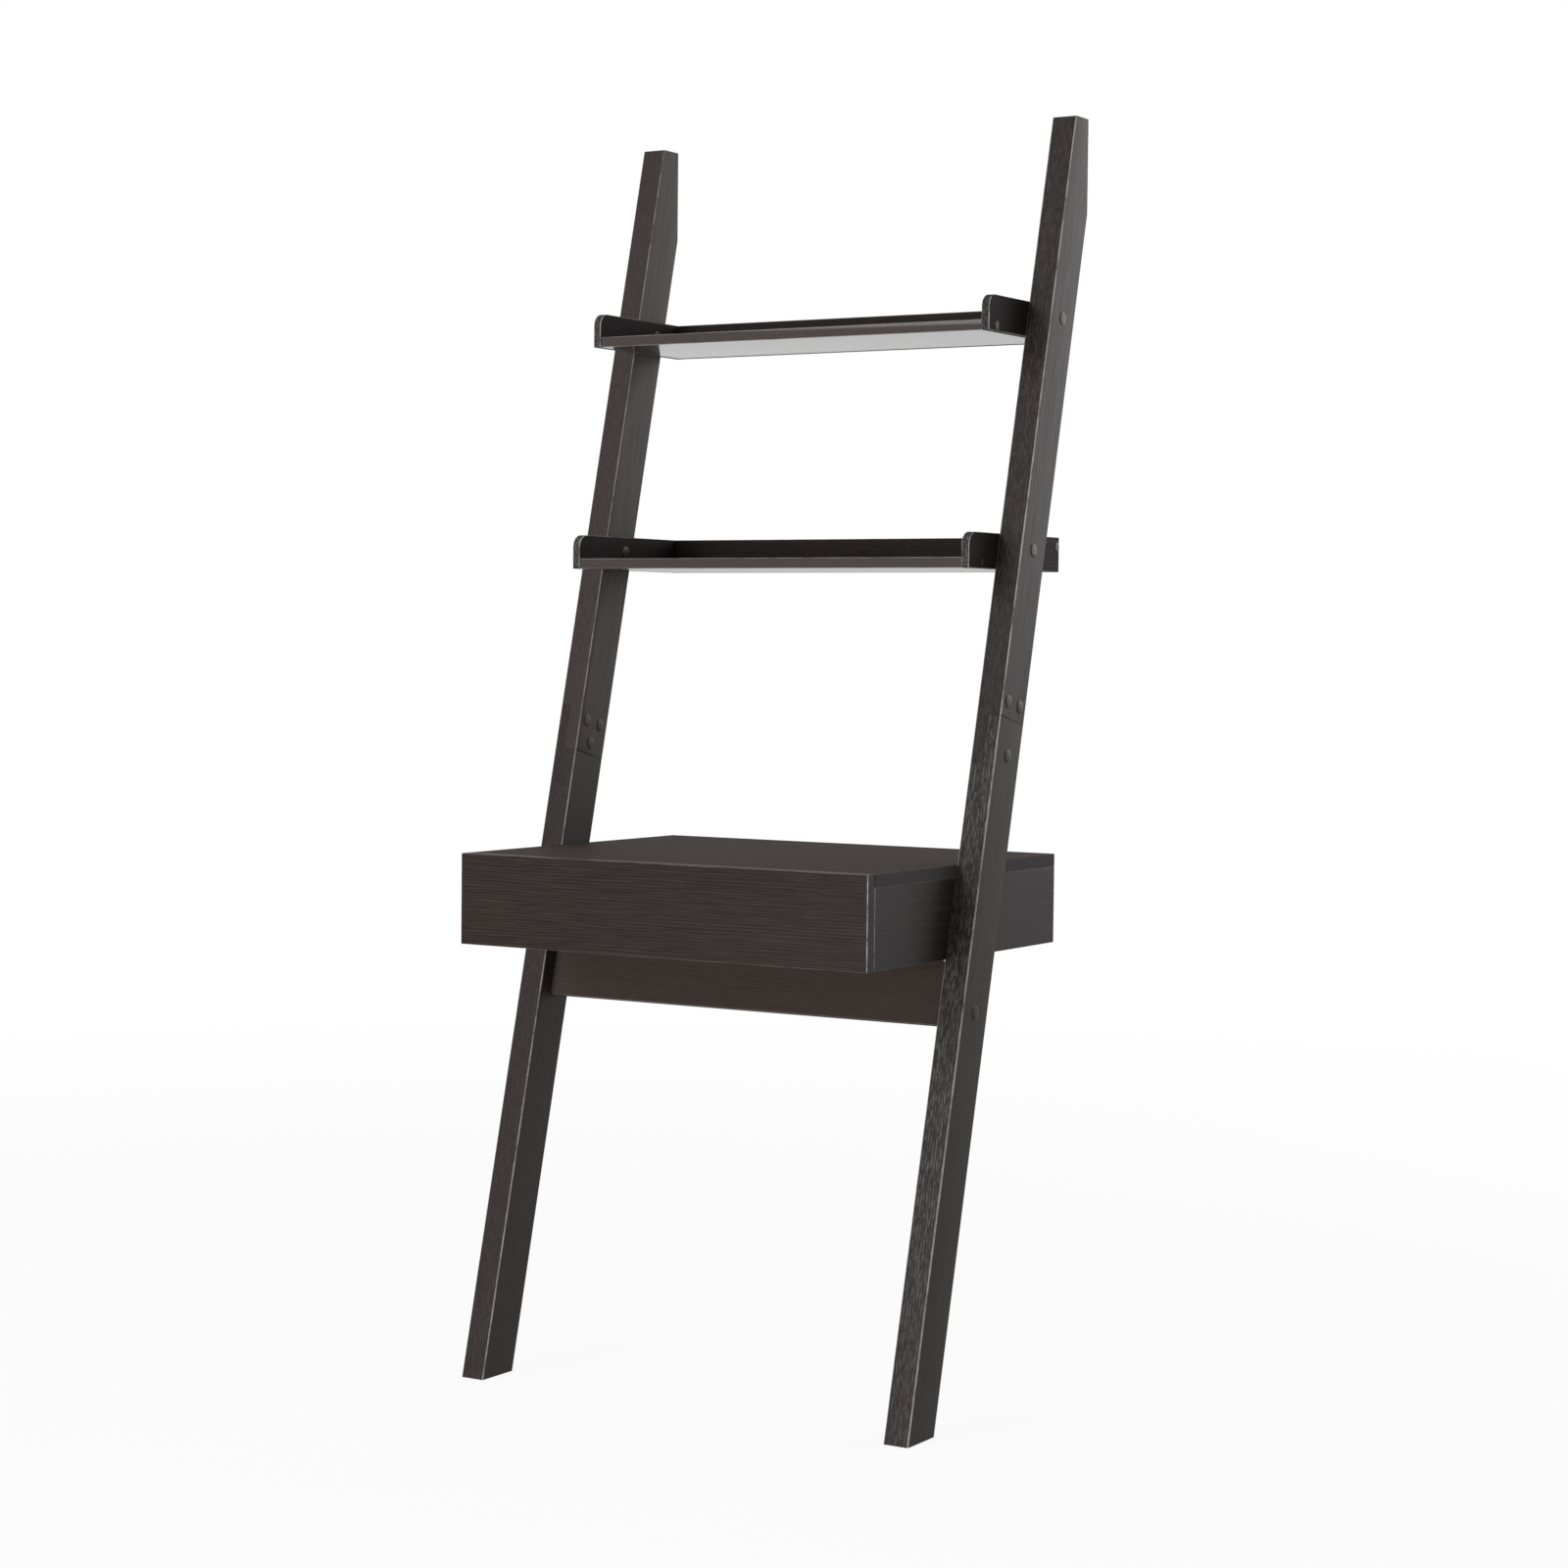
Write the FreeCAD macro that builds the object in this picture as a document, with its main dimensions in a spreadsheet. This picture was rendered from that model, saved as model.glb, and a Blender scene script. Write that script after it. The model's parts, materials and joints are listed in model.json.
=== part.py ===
import FreeCAD, Part
import os
import re

import Sketcher

# Ladder desk. Two stiles lean on the wall and carry two trays, a desk box with a drawer and a
# stretcher panel. Lengths are millimetres. X runs along the width, +Y points at the wall, +Z is
# up, and the origin is on the floor under the middle of the piece.

SIZES = {
    # The ladder: two leaning stiles, cut level at the floor and plumb at the wall
    "inner_width": 664,
    "foot_setback": 486,
    "stile_head": 317,
    "stile_top_depth": 40,
    "stile_thickness": 38,
    "stile_depth": 71,
    "stile_ease": 1.5,
    # The half lap that joins the two lengths of a stile, above the desk
    "lap_lift": 144.4,
    "lap_length": 68,
    "lap_ease": 0.6,
    "lap_bolt_rise": 17,
    "inner_lap_cam_rise": 48,
    "outer_lap_cam_rise": 23,
    # The two trays
    "desk_clear_height": 408,
    "tray_spacing": 330,
    "upper_tray_reach": 226,
    "lower_tray_reach": 276,
    "tray_height": 50,
    "tray_corner_radius": 18,
    "tray_end_thickness": 12,
    "tray_shelf_thickness": 15,
    "tray_shelf_setback": 1,
    "tray_rail_thickness": 15,
    "tray_cap_gap": 2.5,
    "tray_rail_screw_drop": 14,
    "wall_hole_radius": 2.5,
    "wall_hole_spacing": 400,
    "wall_hole_drop": 18,
    # The desk box
    "desk_level": 765,
    "desk_reach": 544,
    "desk_box_height": 129,
    "desk_top_thickness": 18,
    "desk_side_thickness": 15,
    "desk_back_thickness": 15,
    "desk_cam_inset": 70,
    "desk_bolt_spread": 36,
    "board_ease": 0.8,
    # The stretcher panel, in the middle of the stiles' depth and just below the desk box
    "stretcher_gap": 3.5,
    "stretcher_height": 90,
    "stretcher_thickness": 16,
    "stretcher_bolt_rise": 21,
    "stretcher_dowel_drop": 22,
    # The drawer
    "drawer_front_thickness": 18,
    "drawer_front_gap": 1,
    "drawer_floor_gap": 12,
    "drawer_top_gap": 19,
    "drawer_rear_gap": 91,
    "drawer_side_thickness": 12,
    "drawer_back_thickness": 12,
    "drawer_bottom_thickness": 4,
    "drawer_groove_lift": 8,
    "drawer_groove_depth": 6,
    "drawer_groove_clearance": 0.2,
    "drawer_cam_drop": 22,
    "drawer_dowel_seat": 10,
    "drawer_screw_inset": 14,
    # The roller slides
    "slide_width": 12.5,
    "slide_end_gap": 20,
    "slide_metal": 1.2,
    "slide_inset": 4,
    "channel_height": 24,
    "channel_gap": 1.8,
    "tread_lift": 2,
    "tread_gap": 1,
    "rail_foot_width": 11,
    "roller_gap": 0.3,
    "roller_side_gap": 1.95,
    "roller_end_gap": 4,
    "roller_bevel": 0.6,
    "front_roller_radius": 10,
    "pin_radius": 2.5,
    "pin_clearance": 0.05,
    "pin_play": 0.3,
    "pin_head_radius": 4,
    "pin_head": 0.6,
    "rail_screw_inset": 60,
    "rail_screw_drop": 6,
    "rail_screw_radius": 1.7,
    "rail_screw_length": 11,
    "rail_screw_head_radius": 3.5,
    "rail_screw_head": 0.6,
    # Bolts with sleeve nuts, barrel nuts and threaded inserts
    "bolt_radius": 3,
    "bolt_head_radius": 7.5,
    "bolt_head": 3,
    "bolt_tip_gap": 8,
    "sleeve_radius": 4.2,
    "sleeve_tip_gap": 12,
    "barrel_radius": 5,
    "barrel_length": 13,
    "barrel_reach": 24,
    "barrel_bolt_overrun": 9,
    "insert_radius": 4.4,
    "insert_length": 18,
    "insert_tip_gap": 3,
    # Cam locks, dowels and screws
    "cam_radius": 7.5,
    "cam_floor": 0.6,
    "cam_reach": 24,
    "cam_mouth_gap": 0.6,
    "cam_bolt_radius": 2.5,
    "cam_bolt_thread": 11,
    "cam_bolt_ball_radius": 3.2,
    "cam_bolt_ball": 5,
    "cam_bolt_way_gap": 0.4,
    "dowel_radius": 4,
    "dowel_length": 30,
    "screw_radius": 2.5,
    "screw_head_radius": 5,
    "screw_head": 2,
    "screw_length": 40,
    "screw_tip": 4,
    # Cover caps on the bolts and on the screws
    "cover_cap_radius": 9.5,
    "cover_cap_thickness": 1.2,
    "screw_cap_radius": 7,
    "screw_cap_thickness": 1,
    "cap_bevel": 0.5,
    # Clearance of a fastener in its hole, and the overrun of a cut
    "fit_clearance": 0.15,
    "overrun": 5,
}

# Shares of a tray end's overhang in front of the stile, from its front edge back to its first screw
FRONT_SCREW_SHARES = {"upper": 0.22, "lower": 0.54}

# Shares of the stile's depth at which the lap's cam locks sit
LAP_CAM_SHARES = (0.25, 0.75)

# Formulas shared by several pieces, written in the names of the sizes
TRAY_LEVELS = {"upper": "(desk_level + desk_clear_height + tray_spacing)",
               "lower": "(desk_level + desk_clear_height)"}
TRAYS = tuple(TRAY_LEVELS)
OVERALL_HEIGHT = f"({TRAY_LEVELS['upper']} + stile_head)"
LEAN_TAN = f"((foot_setback - stile_top_depth) / {OVERALL_HEIGHT})"
LEAN_SEC = f"sqrt(1 + {LEAN_TAN} ^ 2)"
LEAN_ANGLE = f"atan({LEAN_TAN})"
WALL_Y = "desk_reach / 2"
FOOT_Y = "(desk_reach / 2 - foot_setback)"
INNER_HALF = "inner_width / 2"
OUTER_HALF = "(inner_width / 2 + stile_thickness)"
LAP_SHOULDER = f"(desk_level * {LEAN_SEC} + lap_lift)"
LAP_TOP = f"({LAP_SHOULDER} + lap_length)"
STILE_MIDDLE = "stile_depth / 2"
TRAY_HALF = "(inner_width / 2 - tray_end_thickness)"
DESK_FRONT_Y = "(drawer_front_thickness + drawer_front_gap - desk_reach / 2)"
DESK_LENGTH = "(desk_reach - drawer_front_thickness - drawer_front_gap)"
DESK_FLOOR = "(desk_level - desk_box_height)"
DESK_SIDE_HEIGHT = "(desk_box_height - desk_top_thickness)"
DESK_HALF = "(inner_width / 2 - desk_side_thickness)"
DRAWER_HALF = f"({DESK_HALF} - slide_width)"
DRAWER_INNER_HALF = f"({DRAWER_HALF} - drawer_side_thickness)"
DRAWER_FLOOR = f"({DESK_FLOOR} + drawer_floor_gap)"
DRAWER_SIDE_Y = "(drawer_front_thickness - desk_reach / 2)"
DRAWER_SIDE_LENGTH = "(desk_reach - drawer_front_thickness - drawer_rear_gap - desk_back_thickness)"
DRAWER_SIDE_HEIGHT = "(desk_box_height - desk_top_thickness - drawer_floor_gap - drawer_top_gap)"
DRAWER_BACK_Y = f"({DRAWER_SIDE_Y} + {DRAWER_SIDE_LENGTH} - drawer_back_thickness)"
DRAWER_BACK_LIFT = "(drawer_groove_lift + drawer_bottom_thickness + 2 * drawer_groove_clearance)"
DRAWER_CAM_RISE = f"({DRAWER_SIDE_HEIGHT} - drawer_cam_drop)"
DRAWER_DOWEL_RISE = f"(({DRAWER_BACK_LIFT} + {DRAWER_CAM_RISE}) / 2)"
RAIL_FLOOR = f"({DRAWER_FLOOR} - slide_metal)"
SLIDE_LENGTH = f"({DRAWER_SIDE_LENGTH} - slide_end_gap)"
TREAD_RISE = "(channel_height + tread_lift)"
ROLLER_WIDTH = "(slide_width - 2 * slide_metal - 2 * roller_side_gap)"
ROLLER_INSET = "(front_roller_radius + roller_end_gap)"
CABINET_RAIL_Y = f"({DESK_FRONT_Y} + slide_inset)"
DRAWER_RAIL_Y = f"({DRAWER_SIDE_Y} + drawer_front_gap)"
FRONT_ROLLER_Y = f"({CABINET_RAIL_Y} + {ROLLER_INSET})"
FRONT_ROLLER_Z = f"({RAIL_FLOOR} + {TREAD_RISE} - roller_gap - front_roller_radius)"
REAR_ROLLER_Y = f"({DRAWER_RAIL_Y} + {SLIDE_LENGTH} - {ROLLER_INSET})"
REAR_ROLLER_Z = f"({RAIL_FLOOR} + channel_height / 2)"
REAR_ROLLER_RADIUS = "(channel_height / 2 - slide_metal - roller_gap)"
DESK_BOLT_LEVEL = f"((desk_level - desk_top_thickness + {RAIL_FLOOR} + {TREAD_RISE} + slide_metal) / 2)"
CAM_MOUTH = "(cam_bolt_ball_radius + cam_mouth_gap)"
CAM_BOLT_WAY = "(cam_bolt_ball_radius + cam_bolt_way_gap)"
STRETCHER_FRONT = "((stile_depth - stretcher_thickness) / 2)"
STRETCHER_TOP = f"(({DESK_FLOOR} - stretcher_gap) * {LEAN_SEC} + {STRETCHER_FRONT} * {LEAN_TAN})"
STRETCHER_FOOT = f"({STRETCHER_TOP} - stretcher_height)"
TRAY_BOLT_RISE = "(tray_shelf_thickness + cover_cap_radius + tray_cap_gap)"
SIDES = ("left", "right")

# Each drawing plane by the axis it faces: its name and the sign of its normal along that axis
PLANES = {"X": ("YZ_Plane", 1), "Y": ("XZ_Plane", -1), "Z": ("XY_Plane", 1)}

# Turns that lay the axis of a turned piece, drawn along +Z, in another direction
UP = FreeCAD.Rotation()
DOWN = FreeCAD.Rotation(FreeCAD.Vector(1, 0, 0), 180)
TO_RIGHT = FreeCAD.Rotation(FreeCAD.Vector(0, 1, 0), 90)
TO_LEFT = FreeCAD.Rotation(FreeCAD.Vector(0, 1, 0), -90)
TO_WALL = FreeCAD.Rotation(FreeCAD.Vector(1, 0, 0), -90)
TO_FRONT = FreeCAD.Rotation(FreeCAD.Vector(1, 0, 0), 90)
QUARTER = FreeCAD.Rotation(FreeCAD.Vector(0, 0, 1), 90)
OUTWARD = {"left": TO_LEFT, "right": TO_RIGHT}
INWARD = {"left": TO_RIGHT, "right": TO_LEFT}

document = FreeCAD.newDocument("LadderDesk")
sheet = document.addObject("Spreadsheet::Sheet", "Sizes")
for row, (size_name, value) in enumerate(SIZES.items(), start=1):
    sheet.set(f"A{row}", size_name)
    sheet.set(f"B{row}", str(value))
    sheet.setAlias(f"B{row}", size_name)
document.recompute()
nodes = []


def bound(formula):
    """The formula with every size name pointed at its cell."""
    return re.sub(r"[a-z_]+", lambda word: f"Sizes.{word[0]}" if word[0] in SIZES else word[0], formula)


def place(piece, x, y, z, turn=UP):
    """Put a piece at three formulas, turned by a fixed rotation."""
    piece.Placement = FreeCAD.Placement(FreeCAD.Vector(), turn)
    for axis, formula in zip("xyz", (x, y, z)):
        piece.setExpression(f"Placement.Base.{axis}", bound(formula))


def lean(piece, x, depth, rise):
    """Put a piece in the ladder's leaning frame: depth from the stiles' front, rise up their length."""
    sine = f"{LEAN_TAN} / {LEAN_SEC}"
    piece.Placement = FreeCAD.Placement(FreeCAD.Vector(), FreeCAD.Rotation(FreeCAD.Vector(1, 0, 0), 0))
    piece.setExpression("Placement.Rotation.Angle", bound(f"-{LEAN_ANGLE}"))
    piece.setExpression("Placement.Base.x", bound(x))
    piece.setExpression("Placement.Base.y", bound(f"{FOOT_Y} + ({depth}) / {LEAN_SEC} + ({rise}) * {sine}"))
    piece.setExpression("Placement.Base.z", bound(f"({rise}) / {LEAN_SEC} - ({depth}) * {sine}"))


def stile_rise(level):
    """How far up the stile its middle line reaches a level above the floor."""
    return f"(({level}) * {LEAN_SEC} + {STILE_MIDDLE} * {LEAN_TAN})"


def stile_y(level, depth=STILE_MIDDLE):
    """Where a line up the stile, at a depth from its front, stands front to back at a level."""
    return f"({FOOT_Y} + ({level}) * {LEAN_TAN} + ({depth}) * {LEAN_SEC})"


def side_low(side, near, far):
    """The lower X of what lies between two distances from the middle on one side."""
    return near if side == "right" else f"-({far})"


def from_side(side, distance):
    """The X of a distance from the middle on one side."""
    return f"({distance})" if side == "right" else f"-({distance})"


def inner_face(side, thickness):
    """A side board's inner face in its own frame, and the way into the wood from there."""
    return ("0", 1) if side == "right" else (thickness, -1)


def outer_face(side, thickness):
    """A side board's outer face in its own frame, and the way into the wood from there."""
    return (thickness, -1) if side == "right" else ("0", 1)


def new_body(label, is_node=True):
    """An empty body; a node is written to its own file."""
    body = document.addObject("PartDesign::Body", label)
    body.Label = label
    if is_node:
        nodes.append(body)
    return body


def new_sketch(body, axis, offset):
    """A sketch square to an axis of the body, at an offset along it."""
    role, normal = PLANES[axis]
    plane = next(feature for feature in body.Origin.OriginFeatures if feature.Role == role)
    sketch = body.newObject("Sketcher::SketchObject", f"{body.Name}_sketch")
    sketch.AttachmentSupport = [(plane, "")]
    sketch.MapMode = "FlatFace"
    if offset != "0":
        sketch.setExpression("AttachmentOffset.Base.z", bound(f"{normal} * ({offset})"))
    return sketch


def pin_point(sketch, geometry, position, across, along):
    """Hold one point of a sketch at two formulas."""
    for kind, axis, formula in (("DistanceX", -2, across), ("DistanceY", -1, along)):
        if formula == "0":
            sketch.addConstraint(Sketcher.Constraint("PointOnObject", geometry, position, axis))
        else:
            index = sketch.addConstraint(Sketcher.Constraint(kind, -1, 1, geometry, position, 1.0))
            sketch.setExpression(f"Constraints[{index}]", bound(formula))


def draw_outline(sketch, points):
    """A closed outline of straight lines through points given as formulas."""
    count = len(points)
    for index in range(count):
        start = FreeCAD.Vector(index, index * index, 0)
        follower = (index + 1) % count
        end = FreeCAD.Vector(follower, follower * follower, 0)
        sketch.addGeometry(Part.LineSegment(start, end), False)
    for index in range(count):
        sketch.addConstraint(Sketcher.Constraint("Coincident", index, 2, (index + 1) % count, 1))
    for index, (across, along) in enumerate(points):
        pin_point(sketch, index, 1, across, along)


def draw_circles(sketch, circles):
    """Circles, each given as two formulas for its centre and one for its radius."""
    for across, along, radius in circles:
        circle = Part.Circle(FreeCAD.Vector(1, 1, 0), FreeCAD.Vector(0, 0, 1), 1)
        geometry = sketch.addGeometry(circle, False)
        pin_point(sketch, geometry, 3, across, along)
        index = sketch.addConstraint(Sketcher.Constraint("Radius", geometry, 1.0))
        sketch.setExpression(f"Constraints[{index}]", bound(radius))


def rectangle(low, high):
    """The four corners between two opposite ones."""
    return [low, (high[0], low[1]), high, (low[0], high[1])]


def extrude(body, kind, axis, offset, length, way, outline=None, circles=None):
    """A pad or a pocket from a sketch, along its axis one way or the other."""
    sketch = new_sketch(body, axis, offset)
    if outline:
        draw_outline(sketch, outline)
    if circles:
        draw_circles(sketch, circles)
    feature = body.newObject(f"PartDesign::{kind}", f"{body.Name}_{kind.lower()}")
    feature.Profile = sketch
    feature.setExpression("Length", bound(length))
    natural_way = PLANES[axis][1] if kind == "Pad" else -PLANES[axis][1]
    feature.Reversed = way != natural_way
    return feature


def pad(body, axis, offset, outline, length, way=1):
    """Solid from an outline."""
    return extrude(body, "Pad", axis, offset, length, way, outline=outline)


def groove(body, axis, face, low, high, depth):
    """A rectangular cut into a face, given as the face's offset and the way into the wood."""
    return extrude(body, "Pocket", axis, face[0], depth, face[1], outline=rectangle(low, high))


def drill(body, axis, face, spots, radius, depth):
    """Round holes of one radius into a face."""
    circles = [(across, along, f"{radius} + fit_clearance") for across, along in spots]
    return extrude(body, "Pocket", axis, face[0], depth, face[1], circles=circles)


def dress_edges(body, feature, kind, size, choose):
    """A fillet or a chamfer on the edges that a function chooses."""
    document.recompute()
    chosen = choose(feature.Shape)
    names = [f"Edge{number}" for number, edge in enumerate(feature.Shape.Edges, start=1)
             if any(edge.isSame(other) for other in chosen)]
    dressing = body.newObject(f"PartDesign::{kind}", f"{body.Name}_{kind.lower()}")
    dressing.Base = (feature, names)
    dressing.setExpression("Radius" if kind == "Fillet" else "Size", bound(size))
    return dressing


def board(label, corner, extent, ease="board_ease"):
    """A flat board with eased edges, from its low corner."""
    body = new_body(label)
    place(body, *corner)
    blank = pad(body, "Z", "0", rectangle(("0", "0"), extent[:2]), extent[2])
    dress_edges(body, blank, "Chamfer", ease, every_edge)
    return body


def turned(label, profile, is_node=False):
    """A piece turned round its Z axis from a half section of radius and height."""
    body = new_body(label, is_node)
    sketch = new_sketch(body, "Y", "0")
    draw_outline(sketch, profile)
    revolution = body.newObject("PartDesign::Revolution", f"{body.Name}_revolution")
    revolution.Profile = sketch
    revolution.ReferenceAxis = (sketch, ["V_Axis"])
    revolution.Angle = 360
    return body


def cylinder(label, radius, height, start, turn=UP):
    """A round bar along its Z axis from a starting point."""
    bar = document.addObject("Part::Cylinder", label)
    bar.setExpression("Radius", bound(radius))
    bar.setExpression("Height", bound(height))
    place(bar, *start, turn)
    return bar


def bored(label, bar, hole):
    """A round bar with a hole cut out of it."""
    cut = document.addObject("Part::Cut", label)
    cut.Base = bar
    cut.Tool = hole
    return cut


def group(label, spots):
    """One node of like fasteners: each spot is a pattern piece, its place and its turn."""
    links = []
    for pattern, x, y, z, turn in spots:
        link = document.addObject("App::Link", f"{label}_{len(links)}")
        link.LinkedObject = pattern
        link.LinkPlacement = FreeCAD.Placement(FreeCAD.Vector(), turn)
        for axis, formula in zip("xyz", (x, y, z)):
            link.setExpression(f"LinkPlacement.Base.{axis}", bound(formula))
        links.append(link)
    compound = document.addObject("Part::Compound", label)
    compound.Label = label
    compound.Links = links
    nodes.append(compound)
    return compound


def every_edge(shape):
    """All the edges of a board."""
    return shape.Edges


def lengthwise(shape):
    """The edges that run along a stile rather than across it."""
    directions = [edge.tangentAt(edge.FirstParameter) for edge in shape.Edges]
    return [edge for edge, way in zip(shape.Edges, directions) if abs(way.z) > abs(way.x) + abs(way.y)]


def tongue_end(shape, pick):
    """The edges round the end of a lap's tongue, apart from the one in the plane of the lap."""
    end = pick(shape.Faces, key=lambda face: face.CenterOfMass.z)
    middle = shape.BoundBox.Center.x
    return sorted(end.Edges, key=lambda edge: abs(edge.CenterOfMass.x - middle))[1:]


def upper_tongue(shape):
    """The eased edges of the tongue at the top of a lower stile."""
    return tongue_end(shape, max)


def lower_tongue(shape):
    """The eased edges of the tongue at the bottom of an upper stile."""
    return tongue_end(shape, min)


def around_sides(shape):
    """The edges round a tray end's two faces, not those straight across its thickness."""
    return [edge for edge in shape.Edges if edge.BoundBox.XLength < edge.BoundBox.DiagonalLength / 2]


def front_top(shape):
    """The edge across a tray end at its front top corner."""
    return [min(shape.Edges, key=lambda edge: edge.CenterOfMass.y - edge.CenterOfMass.z)]


def cap_profile(radius, thickness):
    """Half section of a cover cap that sits on a face."""
    rim = f"{thickness} - cap_bevel"
    return [("0", "0"), (radius, "0"), (radius, rim), (f"{radius} - cap_bevel", thickness), ("0", thickness)]


def bolt_profile(length, shank, head_radius, head):
    """Half section of a fastener whose head is flush with a face and whose shank goes in below it."""
    return [("0", "0"), (head_radius, "0"), (head_radius, f"-{head}"), (shank, f"-{head}"),
            (shank, f"-({length})"), ("0", f"-({length})")]


def sleeve_profile(length):
    """Half section of a sleeve nut: a head and a hollow barrel that takes the bolt's shank."""
    bore = "bolt_radius + fit_clearance"
    return [("0", "0"), ("bolt_head_radius", "0"), ("bolt_head_radius", "-bolt_head"),
            ("sleeve_radius", "-bolt_head"), ("sleeve_radius", f"-({length})"), (bore, f"-({length})"),
            (bore, "-bolt_head"), ("0", "-bolt_head")]


def cam_bolt_profile(reach):
    """Half section of a cam bolt: thread below the joint, shaft above it and a thick end in the cam."""
    neck = f"{reach} - cam_bolt_ball / 2"
    tip = f"{reach} + cam_bolt_ball / 2"
    return [("0", "-cam_bolt_thread"), ("cam_bolt_radius", "-cam_bolt_thread"), ("cam_bolt_radius", neck),
            ("cam_bolt_ball_radius", neck), ("cam_bolt_ball_radius", tip), ("0", tip)]


def roller_profile(radius):
    """Half section of a slide roller with bevelled rims and a bore for its pin."""
    bore = "pin_radius + pin_clearance"
    shoulder = f"{radius} - roller_bevel"
    far = f"{ROLLER_WIDTH} - roller_bevel"
    return [(bore, "0"), (shoulder, "0"), (radius, "roller_bevel"), (radius, far), (shoulder, ROLLER_WIDTH),
            (bore, ROLLER_WIDTH)]


def lower_stile(side):
    """The lower length of a stile: a level foot, and the lap's tongue on its outer half."""
    body = new_body(f"{side}_lower_stile")
    lean(body, side_low(side, INNER_HALF, OUTER_HALF), "0", "0")
    foot = f"stile_depth * {LEAN_TAN}"
    outline = [("0", "0"), ("stile_depth", foot), ("stile_depth", LAP_TOP), ("0", LAP_TOP)]
    blank = pad(body, "X", "0", outline, "stile_thickness")
    dress_edges(body, blank, "Chamfer", "stile_ease", lengthwise)
    inner = inner_face(side, "stile_thickness")
    outer = outer_face(side, "stile_thickness")
    lap_end = f"{LAP_TOP} + overrun"
    lap = groove(body, "X", inner, ("-overrun", LAP_SHOULDER), ("stile_depth + overrun", lap_end), TONGUE)
    dress_edges(body, lap, "Chamfer", "lap_ease", upper_tongue)
    through_bolt_hole(body, outer, LAP_BOLT_SPOT, "sleeve_radius", TONGUE)
    through_bolt_hole(body, outer, STRETCHER_BOLT_SPOT, "bolt_radius", "stile_thickness")
    drill(body, "X", inner, [STRETCHER_DOWEL_SPOT], "dowel_radius", DOWEL_HOLE)
    rise = stile_rise(DESK_BOLT_LEVEL)
    insert_spots = [(f"{STILE_MIDDLE} {step} / {LEAN_SEC}", f"{rise} {step} * {LEAN_TAN} / {LEAN_SEC}")
                    for step in DESK_BOLT_STEPS]
    drill(body, "X", inner, insert_spots, "insert_radius", "insert_length")
    for line, shoulder in ((lap_line(side, "outer"), LAP_TOP), (lap_line(side, "inner"), LAP_SHOULDER)):
        threads = [(line, depth) for depth in LAP_CAM_DEPTHS]
        drill(body, "Z", (shoulder, -1), threads, "cam_bolt_radius", THREAD_HOLE)


def upper_stile(side):
    """The upper length of a stile: the lap's tongue on its inner half, and a plumb cut at the wall."""
    body = new_body(f"{side}_upper_stile")
    lean(body, side_low(side, INNER_HALF, OUTER_HALF), "0", "0")
    wall_cut = f"(foot_setback * {LEAN_SEC} - stile_depth) / {LEAN_TAN}"
    top_rise = f"({OVERALL_HEIGHT} + foot_setback * {LEAN_TAN}) / {LEAN_SEC}"
    top_back = (f"stile_top_depth / {LEAN_SEC}", top_rise)
    outline = [("0", LAP_SHOULDER), ("stile_depth", LAP_SHOULDER), ("stile_depth", wall_cut),
               top_back, ("0", f"{OVERALL_HEIGHT} * {LEAN_SEC}")]
    blank = pad(body, "X", "0", outline, "stile_thickness")
    dress_edges(body, blank, "Chamfer", "stile_ease", lengthwise)
    inner = inner_face(side, "stile_thickness")
    outer = outer_face(side, "stile_thickness")
    lap_end = f"{LAP_SHOULDER} - overrun"
    lap = groove(body, "X", outer, ("-overrun", lap_end), ("stile_depth + overrun", LAP_TOP), TONGUE)
    dress_edges(body, lap, "Chamfer", "lap_ease", lower_tongue)
    through_bolt_hole(body, inner, LAP_BOLT_SPOT, "sleeve_radius", TONGUE)
    for name in TRAYS:
        spot = (STILE_MIDDLE, stile_rise(tray_bolt_level(name)))
        through_bolt_hole(body, outer, spot, "sleeve_radius", "stile_thickness")
    for half, face, shoulder, rise in (("outer", outer, LAP_TOP, "outer_lap_cam_rise"),
                                       ("inner", inner, LAP_SHOULDER, "inner_lap_cam_rise")):
        cams = [(depth, f"{shoulder} + {rise}") for depth in LAP_CAM_DEPTHS]
        drill(body, "X", face, cams, "cam_radius", cam_depth(LAP_CAM_LINE))
        ways = [(lap_line(side, half), depth) for depth in LAP_CAM_DEPTHS]
        drill(body, "Z", (shoulder, 1), ways, CAM_BOLT_WAY, rise)


def through_bolt_hole(body, face, spot, radius, thickness):
    """A hole across a side piece with a sinking for the head in the given face."""
    drill(body, "X", face, [spot], radius, thickness)
    drill(body, "X", face, [spot], "bolt_head_radius", "bolt_head")


def lap_line(side, half):
    """Where a cam bolt runs in a stile's thickness: the middle of the outer or inner tongue."""
    if (side == "left") == (half == "outer"):
        return LAP_CAM_LINE
    return f"(stile_thickness - {LAP_CAM_LINE})"


def cam_depth(line):
    """Depth of a cam lock whose bolt runs at a given distance below the face."""
    return f"({line} + {CAM_MOUTH} + cam_floor)"


def cam_lock(label, line):
    """A cam lock flush with a face, with a mouth right across it for the bolt's thick end."""
    bar = cylinder(f"{label}_bar", "cam_radius", cam_depth(line), ("0", "0", f"-{cam_depth(line)}"))
    start = ("-(cam_radius + overrun)", "0", f"-({line})")
    mouth = cylinder(f"{label}_mouth", CAM_MOUTH, "2 * (cam_radius + overrun)", start, TO_RIGHT)
    return bored(label, bar, mouth)


def tray_bolt_level(name):
    """The height above the floor of a tray's bolts."""
    return f"({TRAY_LEVELS[name]} + {TRAY_BOLT_RISE})"


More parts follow.
